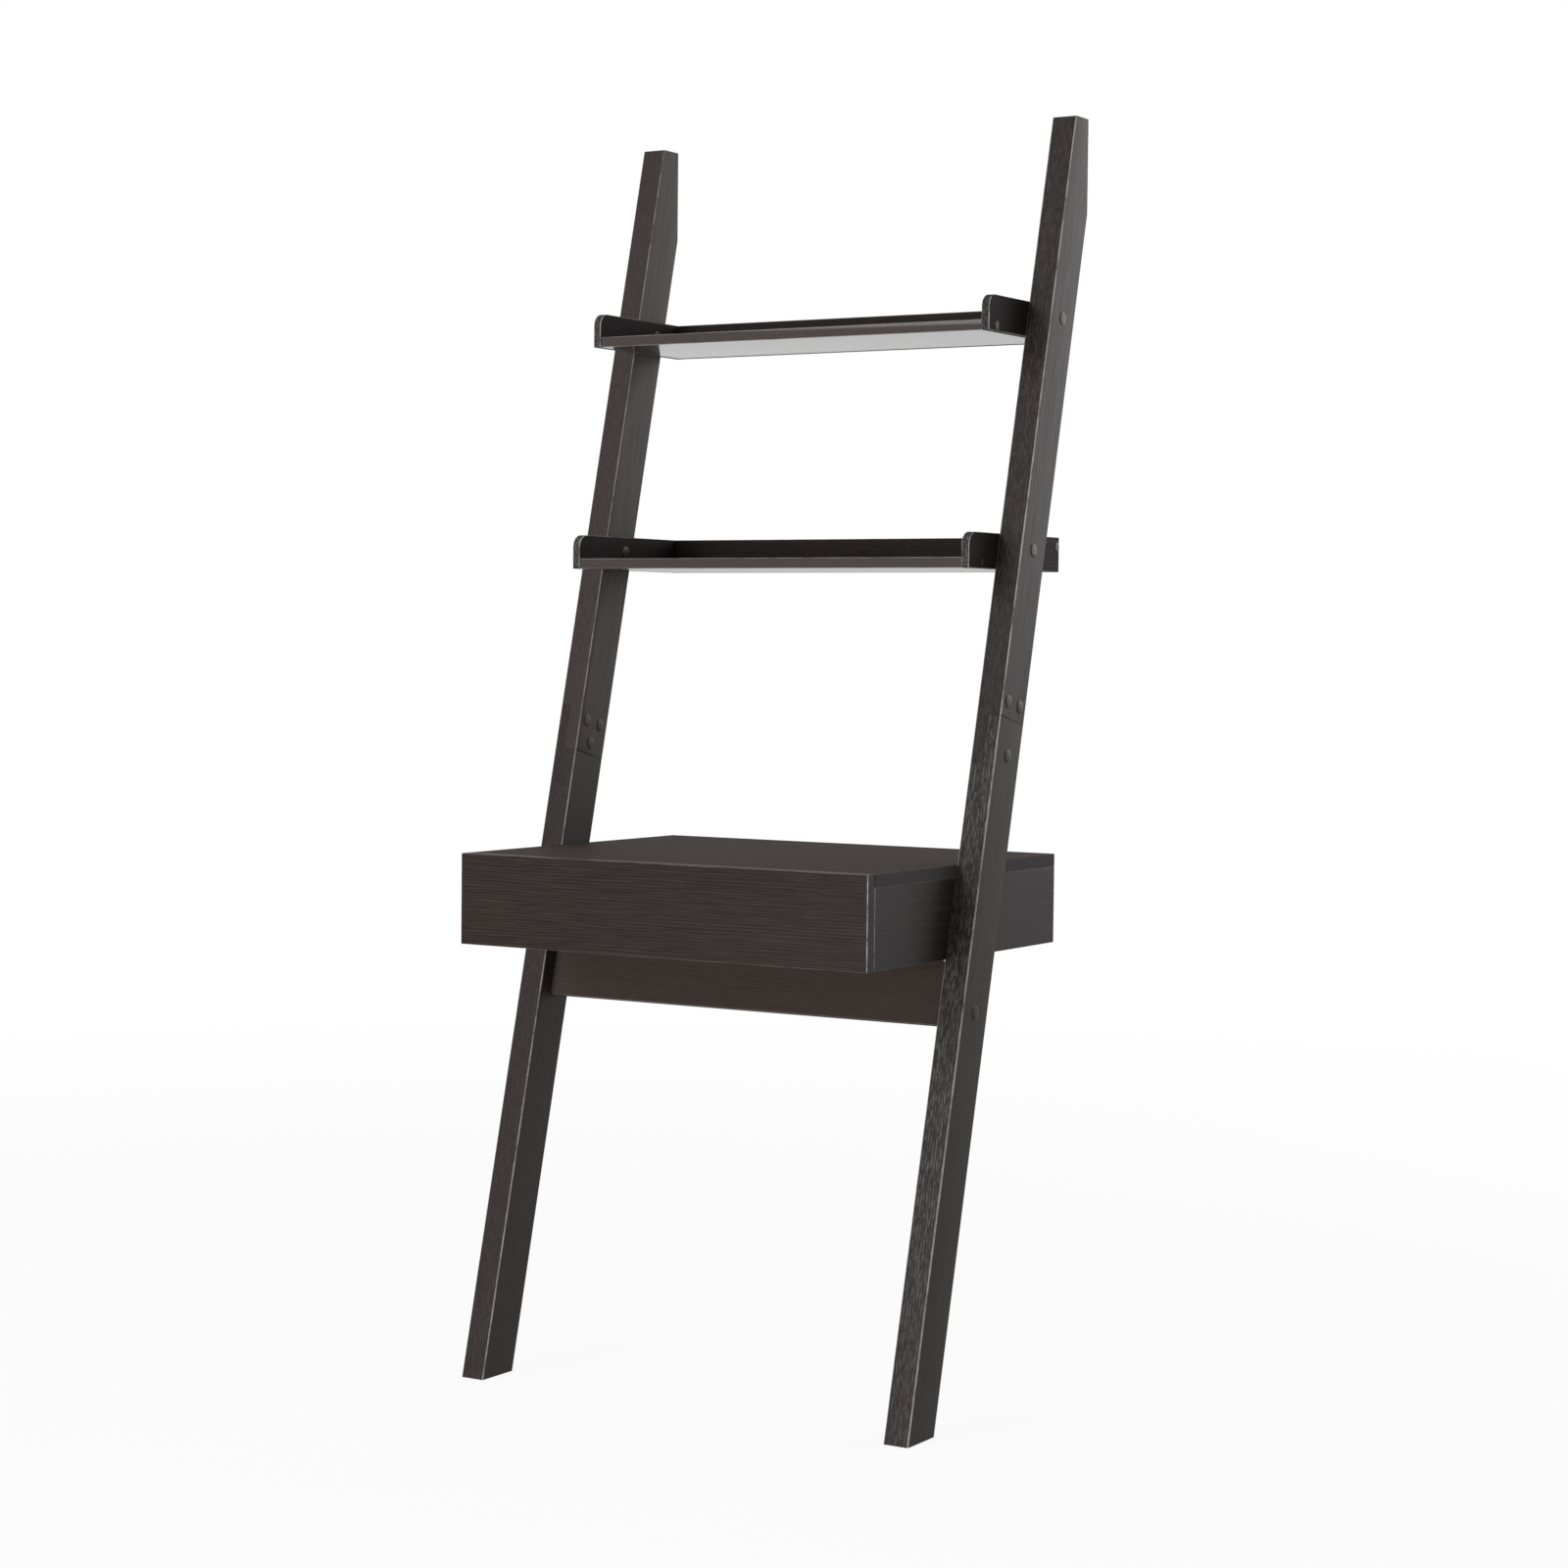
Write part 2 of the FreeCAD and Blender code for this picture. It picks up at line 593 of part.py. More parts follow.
def tray_screw_places(name):
    """The screws of a tray's end: front to back and height, for the shelf and then for the rail."""
    shelf_line = f"({TRAY_LEVELS[name]} + tray_shelf_thickness / 2)"
    edge = f"({WALL_Y} - {name}_tray_reach)"
    front = f"({edge} + {FRONT_SCREW_SHARES[name]} * ({stile_y(shelf_line, '0')} - {edge}))"
    rear = f"(({stile_y(shelf_line, 'stile_depth')} + {WALL_Y} - tray_rail_thickness) / 2)"
    rail_line = f"({TRAY_LEVELS[name]} + tray_height - tray_rail_screw_drop)"
    rail = (f"({WALL_Y} - tray_rail_thickness / 2)", rail_line)
    return [(front, shelf_line), (rear, shelf_line)], [rail]


def tray_end(name, side):
    """A tray's end: a low cheek with a rounded front top corner."""
    body = new_body(f"{name}_tray_{side}_end")
    reach, level = f"{name}_tray_reach", TRAY_LEVELS[name]
    front = f"({WALL_Y} - {reach})"
    place(body, side_low(side, TRAY_HALF, INNER_HALF), front, level)
    blank = pad(body, "X", "0", rectangle(("0", "0"), (reach, "tray_height")), "tray_end_thickness")
    rounded = dress_edges(body, blank, "Fillet", "tray_corner_radius", front_top)
    dress_edges(body, rounded, "Chamfer", "board_ease", around_sides)
    inner = inner_face(side, "tray_end_thickness")
    outer = outer_face(side, "tray_end_thickness")
    bolt_spot = (f"{stile_y(tray_bolt_level(name))} - {front}", TRAY_BOLT_RISE)
    through_bolt_hole(body, inner, bolt_spot, "sleeve_radius", "tray_end_thickness")
    shelf_screws, rail_screws = tray_screw_places(name)
    spots = [(f"{y} - {front}", f"{z} - {level}") for y, z in shelf_screws + rail_screws]
    drill(body, "X", outer, spots, "screw_radius", "tray_end_thickness")
    drill(body, "X", outer, spots, "screw_head_radius", "screw_head")


def tray(name):
    """A tray: two ends, a shelf between them and a rail along the wall."""
    for side in SIDES:
        tray_end(name, side)
    reach, level = f"{name}_tray_reach", TRAY_LEVELS[name]
    width = f"2 * {TRAY_HALF}"
    shelf_front = f"({WALL_Y} - {reach} + tray_shelf_setback)"
    shelf_depth = f"({reach} - tray_shelf_setback - tray_rail_thickness)"
    shelf = board(f"{name}_tray_shelf", (f"-{TRAY_HALF}", shelf_front, level),
                  (width, shelf_depth, "tray_shelf_thickness"))
    rail_front = f"({WALL_Y} - tray_rail_thickness)"
    rail = board(f"{name}_tray_rail", (f"-{TRAY_HALF}", rail_front, level),
                 (width, "tray_rail_thickness", "tray_height"))
    shelf_screws, rail_screws = tray_screw_places(name)
    screw_hole = "screw_length - tray_end_thickness + fit_clearance"
    for piece, front, places in ((shelf, shelf_front, shelf_screws), (rail, rail_front, rail_screws)):
        spots = [(f"{y} - {front}", f"{z} - {level}") for y, z in places]
        for face in (("0", 1), (width, -1)):
            drill(piece, "X", face, spots, "screw_radius", screw_hole)
    return rail


def wall_holes(rail):
    """Two clearance holes through a rail for screws into the wall."""
    spots = [(f"{TRAY_HALF} {sign} wall_hole_spacing / 2", "tray_height - wall_hole_drop") for sign in "-+"]
    circles = [(x, z, "wall_hole_radius") for x, z in spots]
    extrude(rail, "Pocket", "Y", "0", "tray_rail_thickness", 1, circles=circles)


def desk_box():
    """The fixed box of the desk: top, two sides and back."""
    top = board("desk_top", (f"-{INNER_HALF}", DESK_FRONT_Y, "desk_level - desk_top_thickness"),
                ("inner_width", DESK_LENGTH, "desk_top_thickness"))
    side_lines = ("desk_side_thickness / 2", "inner_width - desk_side_thickness / 2")
    threads = [(line, inset) for line in side_lines for inset in DESK_CAM_INSETS]
    drill(top, "Z", ("0", 1), threads, "cam_bolt_radius", THREAD_HOLE)
    for side in SIDES:
        desk_side(side)
    width = f"2 * {DESK_HALF}"
    back = board("desk_back", (f"-{DESK_HALF}", f"{WALL_Y} - desk_back_thickness", DESK_FLOOR),
                 (width, "desk_back_thickness", DESK_SIDE_HEIGHT))
    middle = f"{DESK_SIDE_HEIGHT} / 2"
    cams = [("cam_reach", middle), (f"{width} - cam_reach", middle)]
    drill(back, "Y", ("0", 1), cams, "cam_radius", cam_depth("desk_back_thickness / 2"))
    for face in (("0", 1), (width, -1)):
        drill(back, "X", face, [("desk_back_thickness / 2", middle)], CAM_BOLT_WAY, "cam_reach")


def desk_side(side):
    """One side of the desk box, bolted to its stile from inside."""
    body = board(f"desk_{side}_side", (side_low(side, DESK_HALF, INNER_HALF), DESK_FRONT_Y, DESK_FLOOR),
                 ("desk_side_thickness", DESK_LENGTH, DESK_SIDE_HEIGHT))
    inner = inner_face(side, "desk_side_thickness")
    cams = [(inset, f"{DESK_SIDE_HEIGHT} - cam_reach") for inset in DESK_CAM_INSETS]
    drill(body, "X", inner, cams, "cam_radius", cam_depth("desk_side_thickness / 2"))
    ways = [("desk_side_thickness / 2", inset) for inset in DESK_CAM_INSETS]
    drill(body, "Z", (DESK_SIDE_HEIGHT, -1), ways, CAM_BOLT_WAY, "cam_reach")
    bolts = [(f"{y} - {DESK_FRONT_Y}", f"{DESK_BOLT_LEVEL} - {DESK_FLOOR}") for y in DESK_BOLT_YS]
    drill(body, "X", inner, bolts, "bolt_radius", "desk_side_thickness")
    back_thread = (f"{DESK_LENGTH} - desk_back_thickness / 2", f"{DESK_SIDE_HEIGHT} / 2")
    drill(body, "X", inner, [back_thread], "cam_bolt_radius", THREAD_HOLE)
    screws = [(f"{y} - {DESK_FRONT_Y}", f"{CABINET_SCREW_Z} - {DESK_FLOOR}") for y in CABINET_SCREW_YS]
    drill(body, "X", inner, screws, "rail_screw_radius", RAIL_SCREW_HOLE)


def stretcher():
    """The panel that ties the stiles together under the desk."""
    body = new_body("stretcher_panel")
    lean(body, f"-{INNER_HALF}", STRETCHER_FRONT, STRETCHER_FOOT)
    outline = rectangle(("0", "0"), ("inner_width", "stretcher_thickness"))
    blank = pad(body, "Z", "0", outline, "stretcher_height")
    dress_edges(body, blank, "Chamfer", "board_ease", every_edge)
    middle = "stretcher_thickness / 2"
    bolt_hole = "barrel_reach + barrel_bolt_overrun + fit_clearance"
    dowel_spot = (middle, "stretcher_height - stretcher_dowel_drop")
    for face in (("0", 1), ("inner_width", -1)):
        drill(body, "X", face, [(middle, "stretcher_bolt_rise")], "bolt_radius", bolt_hole)
        drill(body, "X", face, [dowel_spot], "dowel_radius", DOWEL_HOLE)
    nuts = [(x, "stretcher_bolt_rise") for x in ("barrel_reach", "inner_width - barrel_reach")]
    drill(body, "Y", ("stretcher_thickness", -1), nuts, "barrel_radius", f"{middle} + barrel_length / 2")


def drawer_side(side):
    """One side of the drawer, grooved for the bottom."""
    corner = (side_low(side, DRAWER_INNER_HALF, DRAWER_HALF), DRAWER_SIDE_Y, DRAWER_FLOOR)
    body = board(f"drawer_{side}_side", corner,
                 ("drawer_side_thickness", DRAWER_SIDE_LENGTH, DRAWER_SIDE_HEIGHT))
    inner = inner_face(side, "drawer_side_thickness")
    outer = outer_face(side, "drawer_side_thickness")
    middle = "drawer_side_thickness / 2"
    groove(body, "X", inner, ("-overrun", "drawer_groove_lift"),
           (f"{DRAWER_SIDE_LENGTH} + overrun", DRAWER_BACK_LIFT), "drawer_groove_depth")
    drill(body, "X", outer, [("cam_reach", DRAWER_CAM_RISE)], "cam_radius", cam_depth(middle))
    drill(body, "Y", ("0", 1), [(middle, DRAWER_CAM_RISE)], CAM_BOLT_WAY, "cam_reach")
    dowel_hole = "dowel_length - drawer_dowel_seat + fit_clearance"
    drill(body, "Y", ("0", 1), [(middle, DRAWER_DOWEL_RISE)], "dowel_radius", dowel_hole)
    screws = [(f"{DRAWER_SIDE_LENGTH} - drawer_back_thickness / 2", rise) for rise in DRAWER_SCREW_RISES]
    drill(body, "X", outer, screws, "screw_radius", "drawer_side_thickness")
    drill(body, "X", outer, screws, "screw_head_radius", "screw_head")
    rail_screws = [(f"{y} - {DRAWER_SIDE_Y}", f"{DRAWER_SCREW_Z} - {DRAWER_FLOOR}")
                   for y in DRAWER_SCREW_YS]
    drill(body, "X", outer, rail_screws, "rail_screw_radius", RAIL_SCREW_HOLE)


def drawer():
    """The drawer: an overlaid front that hides the box, two sides, a back and a thin bottom."""
    front = board("drawer_front", (f"-{INNER_HALF}", "-desk_reach / 2", DESK_FLOOR),
                  ("inner_width", "drawer_front_thickness", "desk_box_height"))
    back_face = ("drawer_front_thickness", -1)
    side_lines = [f"{INNER_HALF} {sign} ({DRAWER_HALF} - drawer_side_thickness / 2)" for sign in "-+"]
    threads = [(x, f"drawer_floor_gap + {DRAWER_CAM_RISE}") for x in side_lines]
    drill(front, "Y", back_face, threads, "cam_bolt_radius", THREAD_HOLE)
    dowels = [(x, f"drawer_floor_gap + {DRAWER_DOWEL_RISE}") for x in side_lines]
    drill(front, "Y", back_face, dowels, "dowel_radius", "drawer_dowel_seat + fit_clearance")
    slot_half = f"({DRAWER_INNER_HALF} + drawer_groove_depth)"
    groove(front, "Y", back_face, (f"{INNER_HALF} - {slot_half}", "drawer_floor_gap + drawer_groove_lift"),
           (f"{INNER_HALF} + {slot_half}", f"drawer_floor_gap + {DRAWER_BACK_LIFT}"), "drawer_groove_depth")
    for side in SIDES:
        drawer_side(side)
    width = f"2 * {DRAWER_INNER_HALF}"
    back_floor = f"{DRAWER_FLOOR} + {DRAWER_BACK_LIFT}"
    back = board("drawer_back", (f"-{DRAWER_INNER_HALF}", DRAWER_BACK_Y, back_floor),
                 (width, "drawer_back_thickness", f"{DRAWER_SIDE_HEIGHT} - {DRAWER_BACK_LIFT}"))
    screws = [("drawer_back_thickness / 2", f"{rise} - {DRAWER_BACK_LIFT}") for rise in DRAWER_SCREW_RISES]
    screw_hole = "screw_length - drawer_side_thickness + fit_clearance"
    for face in (("0", 1), (width, -1)):
        drill(back, "X", face, screws, "screw_radius", screw_hole)
    bottom_half = f"({DRAWER_INNER_HALF} + drawer_groove_depth - drawer_groove_clearance)"
    tongue = "(drawer_groove_depth - drawer_groove_clearance)"
    board("drawer_bottom", (f"-{bottom_half}", f"{DRAWER_SIDE_Y} - {tongue}",
                            f"{DRAWER_FLOOR} + drawer_groove_lift + drawer_groove_clearance"),
          (f"2 * {bottom_half}", f"{DRAWER_SIDE_LENGTH} + {tongue}", "drawer_bottom_thickness"))


def cabinet_rail(side):
    """The slide's fixed rail: a channel open to the drawer, with a bare front tab for its roller."""
    body = new_body(f"{side}_cabinet_rail")
    place(body, "0", CABINET_RAIL_Y, RAIL_FLOOR)
    wall, web = from_side(side, DESK_HALF), from_side(side, f"{DESK_HALF} - slide_metal")
    lip = from_side(side, f"{DRAWER_HALF} + slide_metal + channel_gap")
    roller_bay = f"2 * {ROLLER_INSET}"
    pad(body, "Y", "0", rectangle((wall, "0"), (web, "channel_height")), roller_bay)
    upper = "channel_height - slide_metal"
    channel = [(wall, "0"), (lip, "0"), (lip, "slide_metal"), (web, "slide_metal"), (web, upper),
               (lip, upper), (lip, "channel_height"), (wall, "channel_height")]
    pad(body, "Y", roller_bay, channel, f"{SLIDE_LENGTH} - {roller_bay}")
    spots = [(f"{y} - {CABINET_RAIL_Y}", "channel_height / 2") for y in CABINET_SCREW_YS]
    drill(body, "X", (wall, -1 if side == "right" else 1), spots, "rail_screw_radius", "slide_metal")


def drawer_rail(side):
    """The slide's moving rail: a foot under the drawer side, a web and a tread on the front roller."""
    body = new_body(f"{side}_drawer_rail")
    place(body, "0", DRAWER_RAIL_Y, RAIL_FLOOR)
    foot, back = from_side(side, f"{DRAWER_HALF} - rail_foot_width"), from_side(side, DRAWER_HALF)
    web = from_side(side, f"{DRAWER_HALF} + slide_metal")
    lip = from_side(side, f"{DESK_HALF} - slide_metal - tread_gap")
    top = f"{TREAD_RISE} + slide_metal"
    section = [(foot, "0"), (web, "0"), (web, TREAD_RISE), (lip, TREAD_RISE), (lip, top), (back, top),
               (back, "slide_metal"), (foot, "slide_metal")]
    pad(body, "Y", "0", section, SLIDE_LENGTH)
    spots = [(f"{y} - {DRAWER_RAIL_Y}", f"{TREAD_RISE} - rail_screw_drop") for y in DRAWER_SCREW_YS]
    drill(body, "X", (back, 1 if side == "right" else -1), spots, "rail_screw_radius", "slide_metal")


def roller(end, side, radius, y, z):
    """A slide roller in the middle of the gap between the two rails."""
    body = turned(f"{side}_{end}_roller", roller_profile(radius), is_node=True)
    near = f"({DESK_HALF} + {DRAWER_HALF} - {ROLLER_WIDTH}) / 2"
    place(body, from_side(side, near), y, z, OUTWARD[side])


# Places that several pieces share
LAP_CAM_DEPTHS = [f"{share} * stile_depth" for share in LAP_CAM_SHARES]
TONGUE = "stile_thickness / 2"
LAP_CAM_LINE = "stile_thickness / 4"
LAP_BOLT_SPOT = (STILE_MIDDLE, f"{LAP_SHOULDER} + lap_bolt_rise")
STRETCHER_BOLT_SPOT = (STILE_MIDDLE, f"{STRETCHER_FOOT} + stretcher_bolt_rise")
STRETCHER_DOWEL_SPOT = (STILE_MIDDLE, f"{STRETCHER_TOP} - stretcher_dowel_drop")
DOWEL_HOLE = "dowel_length / 2 + fit_clearance"
THREAD_HOLE = "cam_bolt_thread + fit_clearance"
DESK_CAM_INSETS = ("desk_cam_inset", f"{DESK_LENGTH} - desk_cam_inset")
DRAWER_SCREW_RISES = (f"({DRAWER_BACK_LIFT} + drawer_screw_inset)",
                      f"({DRAWER_SIDE_HEIGHT} - drawer_screw_inset)")
DESK_BOLT_STEPS = ("- desk_bolt_spread / 2", "+ desk_bolt_spread / 2")
DESK_BOLT_YS = [f"({stile_y(DESK_BOLT_LEVEL)} {step})" for step in DESK_BOLT_STEPS]
RAIL_SCREW_HOLE = "rail_screw_length - rail_screw_head - slide_metal + fit_clearance"
CABINET_SCREW_YS = (f"{CABINET_RAIL_Y} + rail_screw_inset",
                    f"{CABINET_RAIL_Y} + {SLIDE_LENGTH} - rail_screw_inset")
CABINET_SCREW_Z = f"{RAIL_FLOOR} + channel_height / 2"
DRAWER_SCREW_YS = (f"{DRAWER_RAIL_Y} + rail_screw_inset",
                   f"{DRAWER_RAIL_Y} + {SLIDE_LENGTH} - rail_screw_inset")
DRAWER_SCREW_Z = f"{RAIL_FLOOR} + {TREAD_RISE} - rail_screw_drop"

# The wooden pieces and the slides
for side in SIDES:
    lower_stile(side)
    upper_stile(side)
for name in TRAYS:
    rail = tray(name)
    if name == "upper":
        wall_holes(rail)
desk_box()
stretcher()
drawer()
for side in SIDES:
    cabinet_rail(side)
    drawer_rail(side)
    roller("front", side, "front_roller_radius", FRONT_ROLLER_Y, FRONT_ROLLER_Z)
    roller("rear", side, REAR_ROLLER_RADIUS, REAR_ROLLER_Y, REAR_ROLLER_Z)

# Pattern pieces for the fasteners
TRAY_GRIP = "(stile_thickness + tray_end_thickness)"
PIN_COLLAR = "(roller_side_gap - pin_play)"
PIN_NECK = f"({PIN_COLLAR} + {ROLLER_WIDTH} + 2 * pin_play)"


def bolt(label, length):
    """A bolt with a flat head, flush with the face it is put in from."""
    return turned(label, bolt_profile(length, "bolt_radius", "bolt_head_radius", "bolt_head"))


cover_cap = turned("cover_cap", cap_profile("cover_cap_radius", "cover_cap_thickness"))
screw_cap = turned("screw_cap", cap_profile("screw_cap_radius", "screw_cap_thickness"))
lap_bolt = bolt("lap_bolt", "stile_thickness - bolt_tip_gap")
lap_nut = turned("lap_nut", sleeve_profile("stile_thickness - sleeve_tip_gap"))
tray_bolt = bolt("tray_bolt", f"{TRAY_GRIP} - bolt_tip_gap")
tray_nut = turned("tray_nut", sleeve_profile(f"{TRAY_GRIP} - sleeve_tip_gap"))
stretcher_bolt = bolt("stretcher_bolt", "stile_thickness + barrel_reach + barrel_bolt_overrun")
desk_bolt = bolt("desk_bolt", "bolt_head + desk_side_thickness + insert_length - insert_tip_gap")
insert_bore = "bolt_radius + fit_clearance"
insert = turned("insert", [(insert_bore, "0"), ("insert_radius", "0"), ("insert_radius", "-insert_length"),
                           (insert_bore, "-insert_length")])
screw = turned("screw", [("0", "0"), ("screw_head_radius", "0"), ("screw_head_radius", "-screw_head"),
                         ("screw_radius", "-screw_head"), ("screw_radius", "screw_tip - screw_length"),
                         ("0", "-screw_length")])
rail_screw = turned("rail_screw", bolt_profile("rail_screw_length", "rail_screw_radius",
                                               "rail_screw_head_radius", "rail_screw_head"))
dowel = cylinder("dowel", "dowel_radius", "dowel_length", ("0", "0", "0"))
barrel_bar = cylinder("barrel_bar", "barrel_radius", "barrel_length", ("0", "0", "-barrel_length / 2"))
barrel_hole = cylinder("barrel_hole", "bolt_radius + fit_clearance", "2 * (barrel_radius + overrun)",
                       ("-(barrel_radius + overrun)", "0", "0"), TO_RIGHT)
barrel_nut = bored("barrel_nut", barrel_bar, barrel_hole)
lap_cam = cam_lock("lap_cam", LAP_CAM_LINE)
desk_cam = cam_lock("desk_cam", "desk_side_thickness / 2")
desk_back_cam = cam_lock("desk_back_cam", "desk_back_thickness / 2")
drawer_cam = cam_lock("drawer_cam", "drawer_side_thickness / 2")
outer_lap_cam_bolt = turned("outer_lap_cam_bolt", cam_bolt_profile("outer_lap_cam_rise"))
inner_lap_cam_bolt = turned("inner_lap_cam_bolt", cam_bolt_profile("inner_lap_cam_rise"))
cam_bolt = turned("cam_bolt", cam_bolt_profile("cam_reach"))
pin_end = f"{PIN_NECK} + pin_head"
roller_pin = turned("roller_pin", [("0", "0"), ("pin_head_radius", "0"), ("pin_head_radius", PIN_COLLAR),
                                   ("pin_radius", PIN_COLLAR), ("pin_radius", PIN_NECK),
                                   ("pin_head_radius", PIN_NECK), ("pin_head_radius", pin_end),
                                   ("0", pin_end)])


def ladder_fasteners():
    """The fasteners that sit in the leaning frame: the laps' and the stretcher's."""
    caps, cams, cam_bolts, bolts, nuts = [], [], [], [], []
    stretcher_bolts, barrel_nuts, dowels = [], [], []
    for side in SIDES:
        outside, inside = from_side(side, OUTER_HALF), from_side(side, INNER_HALF)
        outer_line = from_side(side, f"{OUTER_HALF} - {LAP_CAM_LINE}")
        inner_line = from_side(side, f"{INNER_HALF} + {LAP_CAM_LINE}")
        for depth in LAP_CAM_DEPTHS:
            outer_spot = (outside, depth, f"{LAP_TOP} + outer_lap_cam_rise", OUTWARD[side])
            inner_spot = (inside, depth, f"{LAP_SHOULDER} + inner_lap_cam_rise", INWARD[side])
            caps += [(cover_cap, *outer_spot), (cover_cap, *inner_spot)]
            cams += [(lap_cam, *outer_spot), (lap_cam, *inner_spot)]
            cam_bolts.append((outer_lap_cam_bolt, outer_line, depth, LAP_TOP, UP))
            cam_bolts.append((inner_lap_cam_bolt, inner_line, depth, LAP_SHOULDER, UP))
        bolts.append((lap_bolt, outside, *LAP_BOLT_SPOT, OUTWARD[side]))
        nuts.append((lap_nut, inside, *LAP_BOLT_SPOT, INWARD[side]))
        caps.append((cover_cap, outside, *LAP_BOLT_SPOT, OUTWARD[side]))
        caps.append((cover_cap, inside, *LAP_BOLT_SPOT, INWARD[side]))
        caps.append((cover_cap, outside, *STRETCHER_BOLT_SPOT, OUTWARD[side]))
        stretcher_bolts.append((stretcher_bolt, outside, *STRETCHER_BOLT_SPOT, OUTWARD[side]))
        nut_line = from_side(side, f"{INNER_HALF} - barrel_reach")
        barrel_nuts.append((barrel_nut, nut_line, *STRETCHER_BOLT_SPOT, TO_WALL))
        dowel_start = from_side(side, f"{INNER_HALF} - dowel_length / 2")
        dowels.append((dowel, dowel_start, *STRETCHER_DOWEL_SPOT, OUTWARD[side]))
        for level in map(tray_bolt_level, TRAYS):
            caps.append((cover_cap, outside, STILE_MIDDLE, stile_rise(level), OUTWARD[side]))
    for label, spots in (("stile_cover_caps", caps), ("lap_cam_locks", cams), ("lap_cam_bolts", cam_bolts),
                         ("lap_bolts", bolts), ("lap_sleeve_nuts", nuts),
                         ("stretcher_bolts", stretcher_bolts), ("stretcher_barrel_nuts", barrel_nuts),
                         ("stretcher_dowels", dowels)):
        lean(group(label, spots), "0", "0", "0")


def tray_fasteners():
    """The bolts, sleeve nuts and caps at the stiles, and the screws and caps of the trays' ends."""
    bolts, nuts, nut_caps, screws, screw_caps = [], [], [], [], []
    for name in TRAYS:
        shelf_screws, rail_screws = tray_screw_places(name)
        level = tray_bolt_level(name)
        y = stile_y(level)
        for side in SIDES:
            bolts.append((tray_bolt, from_side(side, OUTER_HALF), y, level, OUTWARD[side]))
            inside = from_side(side, TRAY_HALF)
            nuts.append((tray_nut, inside, y, level, INWARD[side]))
            nut_caps.append((cover_cap, inside, y, level, INWARD[side]))
            cheek = from_side(side, INNER_HALF)
            for spot in shelf_screws + rail_screws:
                screws.append((screw, cheek, *spot, OUTWARD[side]))
                screw_caps.append((screw_cap, cheek, *spot, OUTWARD[side]))
    group("tray_bolts", bolts)
    group("tray_sleeve_nuts", nuts)
    group("tray_cover_caps", nut_caps)
    group("tray_screws", screws)
    group("tray_screw_caps", screw_caps)


def desk_fasteners():
    """The desk box's bolts and inserts, and its cam locks and cam bolts."""
    bolts, inserts, cams, cam_bolts, rail_screws, pins = [], [], [], [], [], []
    joint_level = "desk_level - desk_top_thickness"
    for side in SIDES:
        for y in DESK_BOLT_YS:
            head = from_side(side, f"{DESK_HALF} - bolt_head")
            bolts.append((desk_bolt, head, y, DESK_BOLT_LEVEL, INWARD[side]))
            inserts.append((insert, from_side(side, INNER_HALF), y, DESK_BOLT_LEVEL, INWARD[side]))
        inside = from_side(side, DESK_HALF)
        middle = from_side(side, f"{INNER_HALF} - desk_side_thickness / 2")
        for inset in DESK_CAM_INSETS:
            y = f"{DESK_FRONT_Y} + {inset}"
            cams.append((desk_cam, inside, y, f"{joint_level} - cam_reach", INWARD[side]))
            cam_bolts.append((cam_bolt, middle, y, joint_level, DOWN))
        back_level = f"{DESK_FLOOR} + {DESK_SIDE_HEIGHT} / 2"
        back_front = f"{WALL_Y} - desk_back_thickness"
        cam_line = from_side(side, f"{DESK_HALF} - cam_reach")
        cams.append((desk_back_cam, cam_line, back_front, back_level, TO_FRONT))
        back_middle = f"{WALL_Y} - desk_back_thickness / 2"
        cam_bolts.append((cam_bolt, inside, back_middle, back_level, INWARD[side]))
        web = from_side(side, f"{DESK_HALF} - slide_metal")
        screw_head = from_side(side, f"{DESK_HALF} - slide_metal - rail_screw_head")
        rail_screws += [(rail_screw, screw_head, y, CABINET_SCREW_Z, INWARD[side]) for y in CABINET_SCREW_YS]
        pins.append((roller_pin, web, FRONT_ROLLER_Y, FRONT_ROLLER_Z, INWARD[side]))
    group("desk_bolts", bolts)
    group("desk_bolt_inserts", inserts)
    group("desk_cam_locks", cams)
    group("desk_cam_bolts", cam_bolts)
    group("cabinet_rail_screws", rail_screws)
    group("front_roller_pins", pins)


